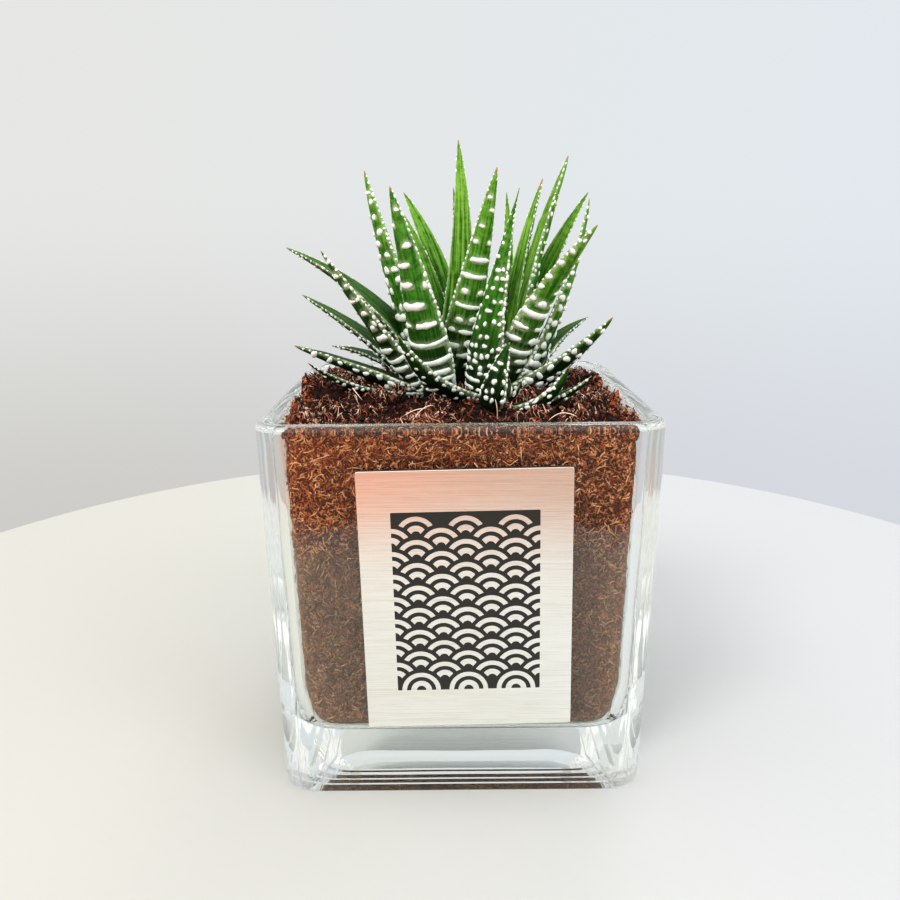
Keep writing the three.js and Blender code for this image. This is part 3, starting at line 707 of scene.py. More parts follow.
def on_glass(points):
    """Lays badge points (x to the right, y up, z out of its face) on the leaning front wall."""
    lean = np.arctan((POT_WIDTH - FOOT_WIDTH) / 2 / POT_HEIGHT)
    pitch, skew = np.pi / 2 + lean, np.radians(BADGE_SKEW)
    turned = np.array([[np.cos(skew), -np.sin(skew), 0], [np.sin(skew), np.cos(skew), 0], [0, 0, 1]])
    c, s = np.cos(pitch), np.sin(pitch)
    leant = np.array([[1, 0, 0], [0, c, -s], [0, s, c]])
    seat = np.array([BADGE_MIDDLE[0], -outer_half(BADGE_MIDDLE[1]) - GAP, BADGE_MIDDLE[1]])
    return points @ (leant @ turned).T + seat


def oblong(width, length, z, corner, turn=5):
    """A ring of points round an oblong with round corners, anticlockwise."""
    angle = np.linspace(0, np.pi / 2, turn)
    quarters = []
    for k, (sx, sy) in enumerate(((1, 1), (-1, 1), (-1, -1), (1, -1))):
        a = angle + k * np.pi / 2
        x = sx * (width / 2 - corner) + corner * np.cos(a)
        y = sy * (length / 2 - corner) + corner * np.sin(a)
        quarters.append(np.stack([x, y, np.full(turn, z)], axis=-1))
    return np.concatenate(quarters)


def core():
    """The black plate: an oblong with its edges broken by 0.1 mm."""
    top = BADGE_THICKNESS - FOIL
    profile = [(0.1, 0.0), (0.0, 0.1), (0.0, top)]
    rings = [oblong(BADGE_WIDTH - 2 * i, BADGE_LENGTH - 2 * i, z, BADGE_CORNER) for i, z in profile]
    points, faces = wrap(np.stack(rings))
    return on_glass(points), faces


def foil():
    """The foil's border round the cut block, and in the block the arcs that were left standing.
    Scales lie in rows half their radius apart; an arc shows where no lower scale covers it, that
    is, outside the circles of the two neighbours below it."""
    low, high = BADGE_THICKNESS - FOIL, BADGE_THICKNESS
    border = np.stack([
        oblong(BLOCK_WIDTH, BLOCK_LENGTH, low, 0.3),
        oblong(BADGE_WIDTH - 0.1, BADGE_LENGTH - 0.1, low, BADGE_CORNER),
        oblong(BADGE_WIDTH - 0.1, BADGE_LENGTH - 0.1, high - 0.05, BADGE_CORNER),
        oblong(BADGE_WIDTH - 0.25, BADGE_LENGTH - 0.25, high, BADGE_CORNER),
        oblong(BLOCK_WIDTH, BLOCK_LENGTH, high, 0.3),
    ])
    count, around = border.shape[:2]
    ring = np.arange(count * around).reshape(count, around)
    beyond = np.roll(ring, -1, axis=1)
    quads = np.stack([ring, beyond, np.roll(beyond, -1, 0), np.roll(ring, -1, 0)], axis=-1)
    points, faces = [border.reshape(-1, 3)], [quads.reshape(-1, 4)]
    start = count * around
    radius = BLOCK_WIDTH / SCALES_ACROSS / 2
    rows = int(BLOCK_LENGTH / (radius / 2)) - 1
    z = np.array([low, high, high, low])
    share = np.linspace(0, 1, 25)[:, None]
    bound, tilt = np.sqrt(1.25), np.arctan2(0.5, 1.0)
    for row in range(rows):
        y0 = BLOCK_LENGTH / 2 - radius - row * radius / 2
        for column in range(SCALES_ACROSS + row % 2):
            x0 = (column - (SCALES_ACROSS - 1 + row % 2) / 2) * 2 * radius
            for inner, outer in ARC_EDGES:
                r = radius * np.array([inner, inner, outer, outer])
                cover = (r**2 + 0.25 * radius**2) / (2 * r * radius)
                meets = np.arccos(np.clip(cover / bound, -1, 1))
                lowest = np.where(cover < bound, meets - tilt, -tilt)
                first = np.where(row == rows - 1, 0.0, np.maximum(lowest, 0.02))
                last = np.pi - first
                if x0 - radius < -BLOCK_WIDTH / 2 - 0.01:
                    last = np.full(4, np.pi / 2)
                if x0 + radius > BLOCK_WIDTH / 2 + 0.01:
                    first = np.full(4, np.pi / 2)
                a = first + (last - first) * share
                arc = np.stack([x0 + r * np.cos(a), y0 + r * np.sin(a), z + 0 * a], axis=-1)
                skin, sheets = wrap(arc[:, ::-1])
                points.append(skin)
                faces.extend(sheet + start for sheet in sheets)
                start += len(skin)
    return on_glass(np.concatenate(points)), faces


def black_core():
    """Black styrene, milled matt by the engraver's cutter."""
    made, tree, place = material("engraved_black_styrene")
    milled = add(tree, "TexNoise", {"Vector": place, "Scale": 1 / (0.5 * MM), "Detail": 3.0})
    bump = add(tree, "Bump", {"Height": milled, "Strength": 0.25, "Distance": 0.05 * MM})
    look = {"Base Color": linear(CORE_BLACK), "Roughness": 0.55, "Normal": bump}
    add(tree, "OutputMaterial", {0: add(tree, "BsdfPrincipled", look)})
    return made


def brushed_foil():
    """Aluminium foil brushed along the badge's width: level scratches, light and dark, spread what
    it mirrors up and down."""
    made, tree, place = material("brushed_aluminium_foil")
    lines = {}
    for i, stretch in enumerate((0.008, 0.03)):
        drawn = add(tree, "Mapping", {"Vector": place, "Scale": (stretch, 1.0, 1.0)})
        grain = {"Vector": drawn, "Scale": 1 / (BRUSH_LINE * MM), "Detail": 2.0}
        lines[i] = add(tree, "TexNoise", grain)
    both = add(tree, "Math", lines, operation="ADD")
    level_line = add(tree, "Math", {0: both, 1: 0.5}, operation="MULTIPLY")
    colour = add(tree, "ValToRGB", {0: level_line}, [(0.36, BRUSH_DARK), (0.56, BRUSH_LIGHT)])
    bump = add(tree, "Bump", {"Height": both, "Strength": 0.2, "Distance": 0.02 * MM})
    look = {"Base Color": colour, "Metallic": 1.0, "Roughness": 0.24, "Normal": bump}
    add(tree, "OutputMaterial", {0: add(tree, "BsdfPrincipled", look)})
    return made


badge_core = solid("badge_core", *core(), [black_core()], smooth=False)
badge_foil = solid("badge_foil", *foil(), [brushed_foil()], smooth=False)
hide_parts("badge_plate")
for part in (badge_core, badge_foil):
    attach(part, "root")


# The rootstock is the plant's short stems, runners and thick roots, buried in the coir. It keeps
# its own solid, with a dry papery skin.
ROOT_DARK, ROOT_PALE = "#7a6444", "#c9b58f"
STEM_GREEN = "#2f5a16"  # of the growing tip, which stands clear of the mix
STEM_GREEN_FROM, STEM_GREEN_TO = 99.0, 102.0


def root_skin():
    """Root bark: dull and papery, paler in streaks about 2 mm long, and green at the stems' tips."""
    made, tree, place = material("dry_root_bark")
    streak = add(tree, "TexNoise", {"Vector": place, "Scale": 1 / (2 * MM), "Detail": 4.0})
    bark = add(tree, "ValToRGB", {0: streak}, [(0.35, ROOT_DARK), (0.65, ROOT_PALE)])
    height = add(tree, "SeparateXYZ", {0: place}).outputs["Z"]
    span = {"From Min": STEM_GREEN_FROM * MM, "From Max": STEM_GREEN_TO * MM}
    growing = add(tree, "MapRange", {"Value": height, **span})
    colour = add(tree, "Mix", {0: growing, 6: bark, 7: linear(STEM_GREEN)}, data_type="RGBA")
    bump = add(tree, "Bump", {"Height": streak, "Strength": 0.5, "Distance": 0.2 * MM})
    shader = add(tree, "BsdfPrincipled", {"Base Color": colour, "Roughness": 0.85, "Normal": bump})
    add(tree, "OutputMaterial", {0: shader})
    return made


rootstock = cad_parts["rootstock"]
rootstock.data.materials.clear()
rootstock.data.materials.append(root_skin())


# The leaves grow in rings round three hearts. Each is a thick three-cornered blade, smooth and
# bright on its inner face and dark on its back, with raised white tubercles in rows.
HEADS = {
    "left": {"x": -2, "y": 6, "drop": 0.0},
    "right": {"x": 11, "y": 1, "drop": 0.0},
    "young": {"x": 11, "y": -20, "drop": 1.5},
}
RINGS = {
    "heart": {"radius": 2.5, "height": 103},
    "middle": {"radius": 5.5, "height": 101},
    "outer": {"radius": 8.5, "height": 99},
}
WIDEST = 0.25  # share of its length at which a leaf is widest
BASE_SHARE = 0.84
TAPER = 0.74
BACK_DEPTH, FACE_DEPTH = 0.37, 0.08  # shares of the width
FACE_HOLLOWS = 0.13  # by how much the face sinks towards the tip, as such a share
LENS_POWER = 1.25  # above 1, so that a leaf's margins are sharp
STATION = 0.75  # spacing of the grid's sections
AROUND = 36
PAINTED_SHADE_FOOT, PAINTED_SHADE_TOP = 103.0, 121.0  # heights between which the painted shade on the clasping bases fades out
LEAF_BLOOM = "#d0dcba"
LEAF_MARGIN = "#cddbb0"
LEAF_DRY = "#b58c62"
LOW_TIP = 143.0  # height of the tip below which a leaf takes the darker low skin
TUBERCLE_WHITE, TUBERCLE_SHADE = "#f8fffa", "#ecf4e8"
# Each skin: name, back at root (painted shade), middle and tip, inner face at root (painted shade) and
# tip.
SKINS = {
    "heart": ("heart_leaf_skin", "#10280a", "#468f26", "#78b43c", "#275f10", "#8ec44e"),
    "middle": ("middle_leaf_skin", "#10280a", "#468925", "#72ac3c", "#245a10", "#82ba4a"),
    "outer": ("outer_leaf_skin", "#0c2007", "#438a26", "#68aa3c", "#215414", "#66a23c"),
    "low": ("low_leaf_skin", "#071404", "#1d4a12", "#3a7020", "#173f0c", "#4a7c26"),
}

# How the back of a leaf is marked: the spacing of its rows near the root and further up, how far
# apart tubercles stand in a row, their half lengths along and across the leaf, the share of the
# leaf over which they run together into bars, and the whitish bloom above them.
MARKS = {
    "bars": {"rows": (2.3, 5.0), "pitch": 2.6, "size": (0.9, 1.3), "joined": 0.62, "bloom": 0.9},
    "bands": {"rows": (2.3, 4.2), "pitch": 2.2, "size": (0.8, 1.05), "joined": 0.5, "bloom": 0.8},
    "blobs": {"rows": (2.6, 3.6), "pitch": 2.9, "size": (1.1, 1.12), "joined": 0.2, "bloom": 0.55},
    "dots": {"rows": (2.1, 3.0), "pitch": 2.1, "size": (0.68, 0.66), "joined": 0.1, "bloom": 0.4},
    "fine": {"rows": (2.2, 3.0), "pitch": 1.9, "size": (0.45, 0.42), "joined": 0.0, "bloom": 0.15},
}
# Rows of the leaves that face the front, from root to tip: the share of the length, then each
# bar's middle and half width as shares of half the back, from the left margin to the right one.
ROWS = {
    12: [
        (0.05, (-0.6, 0.2), (0.0, 0.3), (0.6, 0.15)),
        (0.095, (-0.35, 0.5), (0.55, 0.25)),
        (0.14, (-0.5, 0.3), (0.3, 0.42)),
        (0.19, (-0.02, 0.86),),
        (0.28, (-0.04, 0.9),),
        (0.375, (-0.5, 0.2), (0.25, 0.36)),
        (0.47, (-0.12, 0.52),),
        (0.57, (-0.25, 0.36), (0.62, 0.14)),
        (0.66, (-0.2, 0.4),),
        (0.75, (0.3, 0.3),),
        (0.83, (-0.5, 0.3),),
        (0.9, (0.3, 0.3),),
    ],
    5: [
        (0.08, (-0.3, 0.2), (0.4, 0.2)),
        (0.13, (-0.5, 0.15), (0.1, 0.25), (0.6, 0.2)),
        (0.19, (-0.3, 0.2), (0.3, 0.3)),
        (0.25, (-0.5, 0.15), (0.05, 0.3), (0.6, 0.15)),
        (0.31, (-0.3, 0.16), (0.25, 0.22)),
        (0.37, (-0.05, 0.6),),
        (0.44, (-0.35, 0.18), (0.35, 0.16)),
        (0.51, (-0.1, 0.7),),
        (0.59, (0.05, 0.55),),
        (0.67, (-0.45, 0.2), (0.5, 0.2)),
        (0.74, (-0.3, 0.22),),
        (0.81, (0.3, 0.3),),
        (0.88, (-0.2, 0.3),),
    ],
    14: [
        (0.08, (-0.5, 0.25), (0.3, 0.3)),
        (0.14, (-0.6, 0.2), (0.1, 0.35)),
        (0.2, (-0.2, 0.6),),
        (0.27, (-0.65, 0.3), (0.25, 0.35)),
        (0.35, (-0.6, 0.3), (0.3, 0.36)),
        (0.43, (-0.15, 0.75),),
        (0.5, (-0.75, 0.16), (-0.25, 0.2), (0.3, 0.2)),
        (0.58, (-0.78, 0.18), (0.25, 0.26)),
        (0.66, (-0.75, 0.2), (0.3, 0.25)),
        (0.74, (-0.7, 0.2), (0.35, 0.2)),
        (0.82, (-0.6, 0.2), (0.4, 0.2)),
        (0.9, (-0.4, 0.2),),
    ],
}

# Each leaf as in the solids: its head and ring, the way its back faces in plan (degrees), where
# its tip is, its sag and sway, its width, its marks, its dry tip's length, and its own taper.
LEAVES = [
    ("left", "heart", 20, (4.5, 7, 138), (0.5, 0), 5.5, "fine", 0),
    ("right", "heart", 100, (14, 3, 138), (0.5, 0), 5.5, "fine", 0),
    ("left", "heart", 90, (0.5, 14, 169.5), (0, -2), 9.2, "fine", 1),
    ("left", "heart", 110, (-1, 15, 156.5), (0, -2), 5.6, "dots", 0),
    ("left", "heart", 280, (10.5, -8, 160.5), (0.5, -0.2), 10.8, "bands", 1.6),
    ("right", "heart", 75, (14.5, 14, 155), (0, -1.4), 5.8, "fine", 0),
    ("right", "heart", 30, (24.5, 10, 158.5), (-2.5, 0), 8.4, "dots", 3.5),
    ("right", "heart", 12, (30.5, 2, 164), (-2.2, 0), 11.6, "dots", 1.2),
    ("left", "middle", 85, (-16, 24, 155.5), (0, -4.5), 9.6, "fine", 1),
    ("left", "middle", 110, (-16, 15, 149.5), (0, -3), 8.4, "fine", 1),
    ("left", "middle", 214, (-25.5, 2, 160.5), (1, 0), 11.4, "blobs", 1),
    ("left", "outer", 248, (-17.5, -16, 155.5), (0.5, 0.8), 12.4, "bars", 1),
    ("right", "outer", 234, (16, -14, 155), (0.5, -0.6), 11, "dots", 0, 1.2),
    ("right", "heart", 308, (35.5, -20, 145.5), (-3.5, 0), 12.4, "bars", 1),
    ("right", "middle", 50, (37, 6, 154.5), (-2, 2.2), 9, "blobs", 1),
    ("right", "middle", 350, (36, -2, 152.5), (2.2, 0.5), 9.6, "blobs", 1),
    ("left", "middle", 155, (-49, 6, 140), (-7.5, 0), 11, "dots", 1),
    ("left", "outer", 212, (-36.5, -12, 139.5), (0, 0), 9.6, "bands", 0),
    ("left", "outer", 155, (-45.5, 8, 126.5), (-3, 0), 9.4, "dots", 1),
    ("left", "outer", 140, (-40, 26, 109), (-5, 0), 6.6, "bands", 0),
    ("left", "outer", 192, (-46, -6, 113.5), (-1, 0), 12, "blobs", 1.4),
    ("left", "outer", 208, (-40.5, -18, 110.5), (3, 0), 7.6, "dots", 1),
    ("right", "outer", 220, (-15.5, -26, 118.5), (3, 0), 10.8, "dots", 0),
    ("young", "middle", 240, (13, -26, 116.5), (1, 0), 7.4, "dots", 0),
    ("young", "middle", 320, (28, -28, 110.5), (2.5, 0), 8, "dots", 0),
    ("young", "middle", 345, (35, -22, 107), (1.5, 0), 7, "dots", 0),
    ("right", "outer", 350, (41.5, -2, 117), (0.5, 0), 7.6, "dots", 0),
    ("right", "middle", 330, (41.5, -14, 121.5), (1, 0), 11.4, "blobs", 0.8),
    ("right", "outer", 38, (42, 30, 117), (-3, 0), 9.4, "dots", 1),
    ("left", "middle", 110, (-5.5, 30, 132), (2, 0), 9, "bands", 0),
    ("left", "middle", 80, (1, 32, 142), (2, 0), 9, "bands", 1),
    ("right", "middle", 72, (17, 30, 134), (2, 0), 9, "bands", 0),
    ("right", "middle", 42, (26.5, 24, 129), (2, 0), 8.6, "bands", 0),
    ("left", "outer", 138, (-20, 26, 127), (1, 0), 8.4, "bands", 0),
    ("left", "outer", 105, (-9, 43, 116), (1, 0), 8.6, "bands", 2),
    ("right", "outer", 80, (13, 43, 117), (1, 0), 8.6, "bands", 0),
    ("right", "outer", 55, (27, 38, 114), (1, 0), 8.2, "dots", 0),
    ("right", "outer", 12, (28, 16, 111), (1, 0), 7.6, "dots", 0),
    ("young", "heart", 60, (13.6, -17, 105.5), (0.5, 0), 3.4, "fine", 0),
    ("young", "heart", 340, (16, -20.5, 104.5), (0.5, 0), 3.4, "fine", 0),
]


def blade(head, ring, facing, tip, lie, width, taper=TAPER):
    """A leaf's frame at 61 even stations along its quadratic curve: where the midrib is, the
    directions across it and out of its inner face, half its width, and how deep its back and
    its face are. The width rises to the widest station and then falls as a power."""
    a = np.radians(facing)
    outward = np.array([np.cos(a), np.sin(a), 0.0])
    sideways = np.array([-np.sin(a), np.cos(a), 0.0])
    heart, row = HEADS[head], RINGS[ring]
    root = np.array([heart["x"], heart["y"], row["height"] - heart["drop"]])
    root = root + outward * row["radius"]
    tip = np.array(tip, float)
    chord = (tip - root) / np.linalg.norm(tip - root)
    bend = outward - chord * (outward @ chord)
    bend /= np.linalg.norm(bend)
    handle = (root + tip) / 2 + bend * 2 * lie[0] + sideways * 2 * lie[1]
    t = np.linspace(0, 1, 241)[:, None]
    curve = (1 - t) ** 2 * root + 2 * t * (1 - t) * handle + t**2 * tip
    slope = 2 * (1 - t) * (handle - root) + 2 * t * (tip - handle)
    run = np.concatenate([[0], np.cumsum(np.linalg.norm(np.diff(curve, axis=0), axis=1))])
    s = np.linspace(0, 1, 61)
    even = np.interp(s, run / run[-1], t[:, 0])
    midrib = np.stack([np.interp(even, t[:, 0], curve[:, i]) for i in range(3)], axis=-1)
    along = np.stack([np.interp(even, t[:, 0], slope[:, i]) for i in range(3)], axis=-1)
    along /= np.linalg.norm(along, axis=-1, keepdims=True)
    across = sideways - along * (along @ sideways)[:, None]
    across /= np.linalg.norm(across, axis=-1, keepdims=True)
    up = np.cross(along, across)
    rising = BASE_SHARE + (1 - BASE_SHARE) * np.sin(np.minimum(s / WIDEST, 1) * np.pi / 2)
    falling = (1 - np.clip((s - WIDEST) / (1 - WIDEST), 0, 1)) ** taper
    share = np.where(s < WIDEST, rising, np.maximum(falling, 0.02))
    return {
        "length": run[-1],
        "s": s,
        "midrib": midrib,
        "across": across,
        "up": up,
        "half": width / 2 * share,
        "back": BACK_DEPTH * width * share**0.8,
        "face": (FACE_DEPTH - FACE_HOLLOWS * s) * width * share,
    }


def on_blade(leaf, s, angle, lift=0.0):
    """Points on a leaf at shares s of its length and angles round its section, from 0 at one margin
    over the inner face to pi at the other, and on round the back. A section is a lens: half the
    width times the cosine, and the depth times the sine to a power that keeps its margins sharp."""
    read = lambda key: np.interp(s, leaf["s"], leaf[key])
    vector = lambda key: np.stack([np.interp(s, leaf["s"], part) for part in leaf[key].T], axis=-1)
    across, up = vector("across"), vector("up")
    c, d = np.cos(angle), np.sin(angle)
    depth = np.where(d > 0, read("face"), read("back"))
    rise_out = np.sign(d) * np.abs(d) ** LENS_POWER
    x = read("half") * c
    y = depth * rise_out
    nx = c / np.maximum(read("half"), 0.05)
    ny = rise_out / np.maximum(depth, 0.05)
    size = np.maximum(np.hypot(nx, ny), 1e-6)
    x = x + lift * nx / size
    y = y + lift * ny / size
    return vector("midrib") + across * x[..., None] + up * y[..., None]


def row_pieces(s, marks, draw):
    """The middles and half widths of one row's tubercles, as shares of half the back: one, two or
    three bars where they run together, and dots at the marks' pitch (left open) further up."""
    if s >= marks["joined"]:
        return None
    kind = draw.choice(3, p=(0.5, 0.32, 0.18) if s > 0.18 else (0.15, 0.45, 0.4))
    middles = ((0.0,), (-0.47, 0.47), (-0.62, 0.0, 0.62))[kind]
    widths = (draw.uniform(0.62, 0.88), draw.uniform(0.3, 0.42), draw.uniform(0.16, 0.27))[kind]
    return [(c + draw.normal(0, 0.05), widths * draw.uniform(0.8, 1.1)) for c in middles]


def tubercles(leaf, marks, rows, draw):
    """A leaf's tubercles, six numbers each: share of the length, angle, half lengths along and
    across, how far its ends bend towards the tip, and the arc length per radian. Rows across the
    back get further apart up the leaf, and along each margin stands a single file."""
    low, high = marks["rows"]
    length = leaf["length"]
    if rows is None:
        rows, place = [], min(2.5, 0.35 * length)
        while place < length - min(4.0, 0.3 * length):
            rows.append((place / length,))
            step = low + (high - low) * min(1.0, place / length / 0.35)
            place += step * (1 + 0.1 * draw.normal())
    found = []
    for s, *pieces in rows:
        half = np.interp(s, leaf["s"], leaf["half"])
        arc = 1.05 * np.hypot(half, np.interp(s, leaf["s"], leaf["back"]))
        thick = marks["size"][0] * min(1.25 - 0.6 * s, 0.7 + 2.5 * s)
        pieces = pieces or row_pieces(s, marks, draw)
        if pieces:
            placed = [(c * arc, max(w * arc, 0.6 * thick)) for c, w in pieces]
        else:
            count = max(1, int(round(1.7 * arc / marks["pitch"])))
            count -= count > 1 and draw.random() < 0.3
            middles = ((np.arange(count) + 0.5) / count * 2 - 1) * 0.85 * arc
            middles += draw.normal(0, 0.17, count) * marks["pitch"]
            sizes = marks["size"][1] * (1.1 - 0.4 * s) * np.exp(0.24 * draw.normal(size=count))
            placed = list(zip(middles, sizes))
        for v, b in placed:
            a = min(thick * np.exp(0.12 * draw.normal()), 0.6 * half)
            b = min(b, 0.9 * arc)
            ragged = 0.1 if b > 1.6 * a else 0.38
            up_leaf = s + (0.35 * (v / max(arc, 0.1)) ** 2 + ragged * draw.normal()) / length
            found.append((up_leaf, 1.5 * np.pi + v / arc * np.pi / 2, a, b, 0.02 * b**2, arc * 2 / np.pi))
    for margin, inward in ((0.0, 1), (np.pi, -1)):
        place = min(3.0, 0.4 * length)
        while place < length - 1.2:
            s = place / length
            half = np.interp(s, leaf["s"], leaf["half"])
            size = min(0.46 * (1.1 - 0.55 * s) * np.exp(0.22 * draw.normal()), half * 0.6)
            angle = margin - inward * draw.uniform(0.02, 0.3)
            long = size * draw.uniform(1.0, 2.2)
            found.append((s, angle, long, size * 0.85, 0.0, max(0.45 * half, 0.3)))
            place += 1.2 + 0.9 * draw.random()
    return np.array(found)


def domes(leaf, found, spokes, radii, draw):
    """Closed domes, one for each tubercle: rings of points round a crest line as long as the bar is
    wider than thick. The rings' radius goes from 1 down, lifted by the height times
    sqrt(1 - r^2); the first ring is sunk in the skin. Each end is closed by a ladder of quads."""
    count = len(found)
    s, angle, a, b, smile, speed = (found[:, i, None, None] for i in range(6))
    turn = ((np.arange(spokes) + 0.5) / spokes * 2 * np.pi)[None, None]
    r = np.array(radii)[None, :, None]
    bent, lobed = draw.uniform(0, 2 * np.pi, (2, count, 1, 1))
    rough = 1 + 0.14 * np.sin(2 * turn + bent) + 0.1 * np.sin(3 * turn + lobed)
    across = np.maximum(b - a, 0) * np.clip(1.5 * np.cos(turn), -1, 1)
    across = across + np.minimum(a, b) * r * rough * np.cos(turn)
    lumpy = 1 + 0.24 * np.sin(across * 2.3 + bent) * (b > 1.6 * a)
    along = a * r * rough * lumpy * np.sin(turn) + smile * (across / b) ** 2
    high = 0.62 * np.minimum(a, b) * np.sqrt(1 - np.minimum(r, 1) ** 2) - 0.1 * (r == 1.0)
    ring_s = np.clip(s + along / leaf["length"], 0.005, 0.995)
    points = on_blade(leaf, ring_s, angle + across / speed, high + 0 * ring_s)
    first = (np.arange(count) * spokes * len(radii))[:, None, None]
    sides = bands(first, len(radii), spokes)
    rung = np.arange(spokes // 2 - 1)
    ladder = np.stack([rung, rung + 1, spokes - 2 - rung, spokes - 1 - rung], axis=-1)
    crest = first + (len(radii) - 1) * spokes + ladder
    root = first + ladder[:, ::-1]
    faces = np.concatenate([part.reshape(-1, 4) for part in (sides, crest, root)])
    return points.reshape(-1, 3), faces


def bloom_over(leaf, found, s, angle):
    """How whitish the skin is: strongest just above each tubercle of the back, fading towards the
    tip over 1.4 mm and sideways over the tubercle's own half width."""
    total = np.zeros_like(s)
    for place, turn, a, b, smile, speed in found:
        if abs(np.sin(turn)) < 0.35:
            continue
        above = (s - place) * leaf["length"]
        beside = (angle - turn) * speed / (b + 0.3)
        total += np.where(above > -a, np.exp(-np.maximum(above, 0) / 1.4 - beside**4), 0)
    return np.clip(total, 0, 1)


def leaf_surface(leaf, marks, rows, dry, seed):
    """A leaf's skin as a grid over its length and round its section, closed at both ends, with
    its tubercles' domes, and the numbers that its colours follow."""
    draw = np.random.default_rng(seed)
    stations = int(leaf["length"] / STATION) + 3
    s = np.linspace(0, 1, stations)[:, None] + np.zeros((1, AROUND))
    angle = np.linspace(0, 2 * np.pi, AROUND, endpoint=False)[None] + np.zeros((stations, 1))
    found = tubercles(leaf, marks, rows, draw)
    place = np.stack([s * leaf["length"], 3 * np.cos(angle), 3 * np.sin(angle)], axis=-1)
    uneven = 0.1 * lumps(place, 2.1, seed) + 0.16 * lumps(place, 6.0, seed + 1)
    uneven *= np.clip(4 * s, 0, 1) * np.clip(8 * (1 - s), 0, 1)
    skin, (quads, caps) = wrap(on_blade(leaf, np.minimum(s, 0.998), angle, uneven))
    wide = found[:, 3] > 1.5 * found[:, 2]
    parts = [domes(leaf, found[~wide], 10, (1.0, 0.8, 0.4), draw)]
    if wide.any():
        parts.append(domes(leaf, found[wide], 18, (1.0, 0.86, 0.55, 0.2), draw))
    half = np.interp(s, leaf["s"], leaf["half"])
    bare = {
        "share": s,
        "inner": np.clip(4 * np.sin(angle), 0, 1),
        "across": half * np.cos(angle),
        "along": s * leaf["length"] + seed * 40.0,
        "bloom": bloom_over(leaf, found, s, angle) * marks["bloom"],
        "edge": np.abs(np.cos(angle)) ** 5,
        "dry": np.clip(1.3 - leaf["length"] * (1 - s) / max(dry, 0.01), 0, 1),
    }
    bumps = sum(len(part) for part, _ in parts)
    values = {
        key: np.concatenate([v.ravel(), [v[0].mean(), v[-1].mean()], np.zeros(bumps)])
        for key, v in bare.items()
    }
    points, faces, looks = [skin], [quads, caps], [0] * (len(quads) + len(caps))
    start = len(skin)
    for part, part_faces in parts:
        points.append(part)
        faces.append(part_faces + start)
        looks += [1] * len(part_faces)
        start += len(part)
    return np.concatenate(points), faces, looks, values


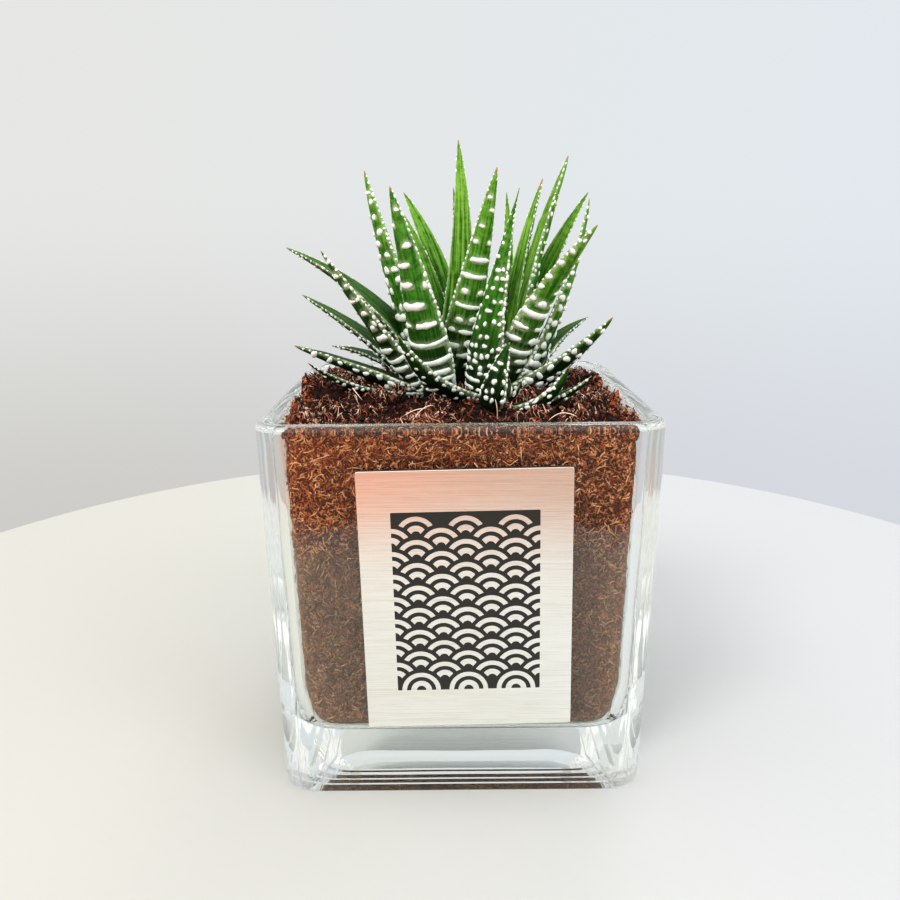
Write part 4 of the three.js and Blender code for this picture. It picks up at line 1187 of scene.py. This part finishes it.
def leaf_skin(name, deep, mid, tip, inner_deep, inner_tip):
    """Succulent leaf skin: waxy and satin. The back runs from painted shade at the root to fresher
    green towards the tip, the inner face bright but for painted shade at its root, with pale veins
    lengthwise, a pale margin, and dry tips."""
    made, tree, place = material(name)
    read = {
        key: add(tree, "Attribute", attribute_name=key).outputs["Fac"]
        for key in ("share", "inner", "across", "along", "bloom", "edge", "dry")
    }
    # Painted shade: both ramps start dark at the root, where the bases sit deep in the rosette.
    back = add(tree, "ValToRGB", {0: read["share"]}, [(0.1, deep), (0.5, mid), (1.0, tip)])
    face = add(tree, "ValToRGB", {0: read["share"]}, [(0.2, inner_deep), (0.95, inner_tip)])
    colour = add(tree, "Mix", {0: read["inner"], 6: back, 7: face}, data_type="RGBA")
    flat = add(tree, "CombineXYZ", {0: read["across"], 1: read["along"]})
    stretched = add(tree, "Mapping", {"Vector": flat, "Scale": (1.6, 0.06, 1.0)})
    feathered = add(tree, "Mapping", {"Vector": flat, "Scale": (2.2, 0.45, 1.0)})
    vein = add(tree, "TexNoise", {"Vector": stretched, "Scale": 1.0})
    fleck = add(tree, "TexNoise", {"Vector": feathered, "Scale": 1.2, "Detail": 3.0, "Roughness": 0.7})
    mottle = add(tree, "TexNoise", {"Vector": flat, "Scale": 0.55, "Detail": 3.0, "Roughness": 0.65})
    height = add(tree, "SeparateXYZ", {0: place}).outputs["Z"]
    paleness = add(tree, "Math", {0: read["inner"], 1: 0.45, 2: 0.3}, operation="MULTIPLY_ADD")
    frost = add(tree, "Math", {0: fleck, 1: read["bloom"]}, operation="MULTIPLY")
    rim_line = add(tree, "Math", {0: fleck, 1: read["edge"]}, operation="MULTIPLY")
    for value, low, high, most, towards in (
        (mottle, 0.38, 0.64, 0.62, deep),
        (vein, 0.48, 0.36, 0.6, inner_deep),
        (vein, 0.46, 0.62, paleness, inner_tip),
        (frost, 0.1, 0.4, 0.8, LEAF_BLOOM),
        # painted shade: the leaves' lower parts go darker towards the soil
        (height, PAINTED_SHADE_TOP * MM, PAINTED_SHADE_FOOT * MM, 0.7, deep),
        (rim_line, 0.2, 0.6, 0.75, LEAF_MARGIN),
    ):
        span = {"Value": value, "From Min": low, "From Max": high, "To Max": most}
        share = add(tree, "MapRange", span)
        colour = add(tree, "Mix", {0: share, 6: colour, 7: linear(towards)}, data_type="RGBA")
    colour = add(tree, "Mix", {0: read["dry"], 6: colour, 7: linear(LEAF_DRY)}, data_type="RGBA")
    bump = add(tree, "Bump", {"Height": fleck, "Strength": 0.35, "Distance": 0.15 * MM})
    look = {"Base Color": colour, "Roughness": 0.6, "Specular IOR Level": 0.12, "Normal": bump}
    add(tree, "OutputMaterial", {0: add(tree, "BsdfPrincipled", look)})
    return made


def tubercle_skin():
    """Tubercles: hard white pearls of the leaf's own skin, satin, faintly cream."""
    made, tree, place = material("pearly_tubercle")
    mottle = add(tree, "TexNoise", {"Vector": place, "Scale": 1 / (0.8 * MM), "Detail": 2.0})
    colour = add(tree, "ValToRGB", {0: mottle}, [(0.3, TUBERCLE_SHADE), (0.6, TUBERCLE_WHITE)])
    shader = add(tree, "BsdfPrincipled", {"Base Color": colour, "Roughness": 0.4})
    add(tree, "OutputMaterial", {0: shader})
    return made


pearl = tubercle_skin()
skins = {ring: leaf_skin(*colours) for ring, colours in SKINS.items()}
for number, (head, ring, facing, tip, lie, width, marks, dry, *taper) in enumerate(LEAVES, 1):
    shape = blade(head, ring, facing, tip, lie, width, *taper)
    surface = leaf_surface(shape, MARKS[marks], ROWS.get(number), dry, 100 + number)
    points, faces, looks, values = surface
    finishes = [skins["low" if tip[2] < LOW_TIP else ring], pearl]
    leaf = solid(f"haworthia_leaf_{number:02d}", points, faces, finishes, looks, values=values)
    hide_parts(f"leaf_{number:02d}")
    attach(leaf, "root")
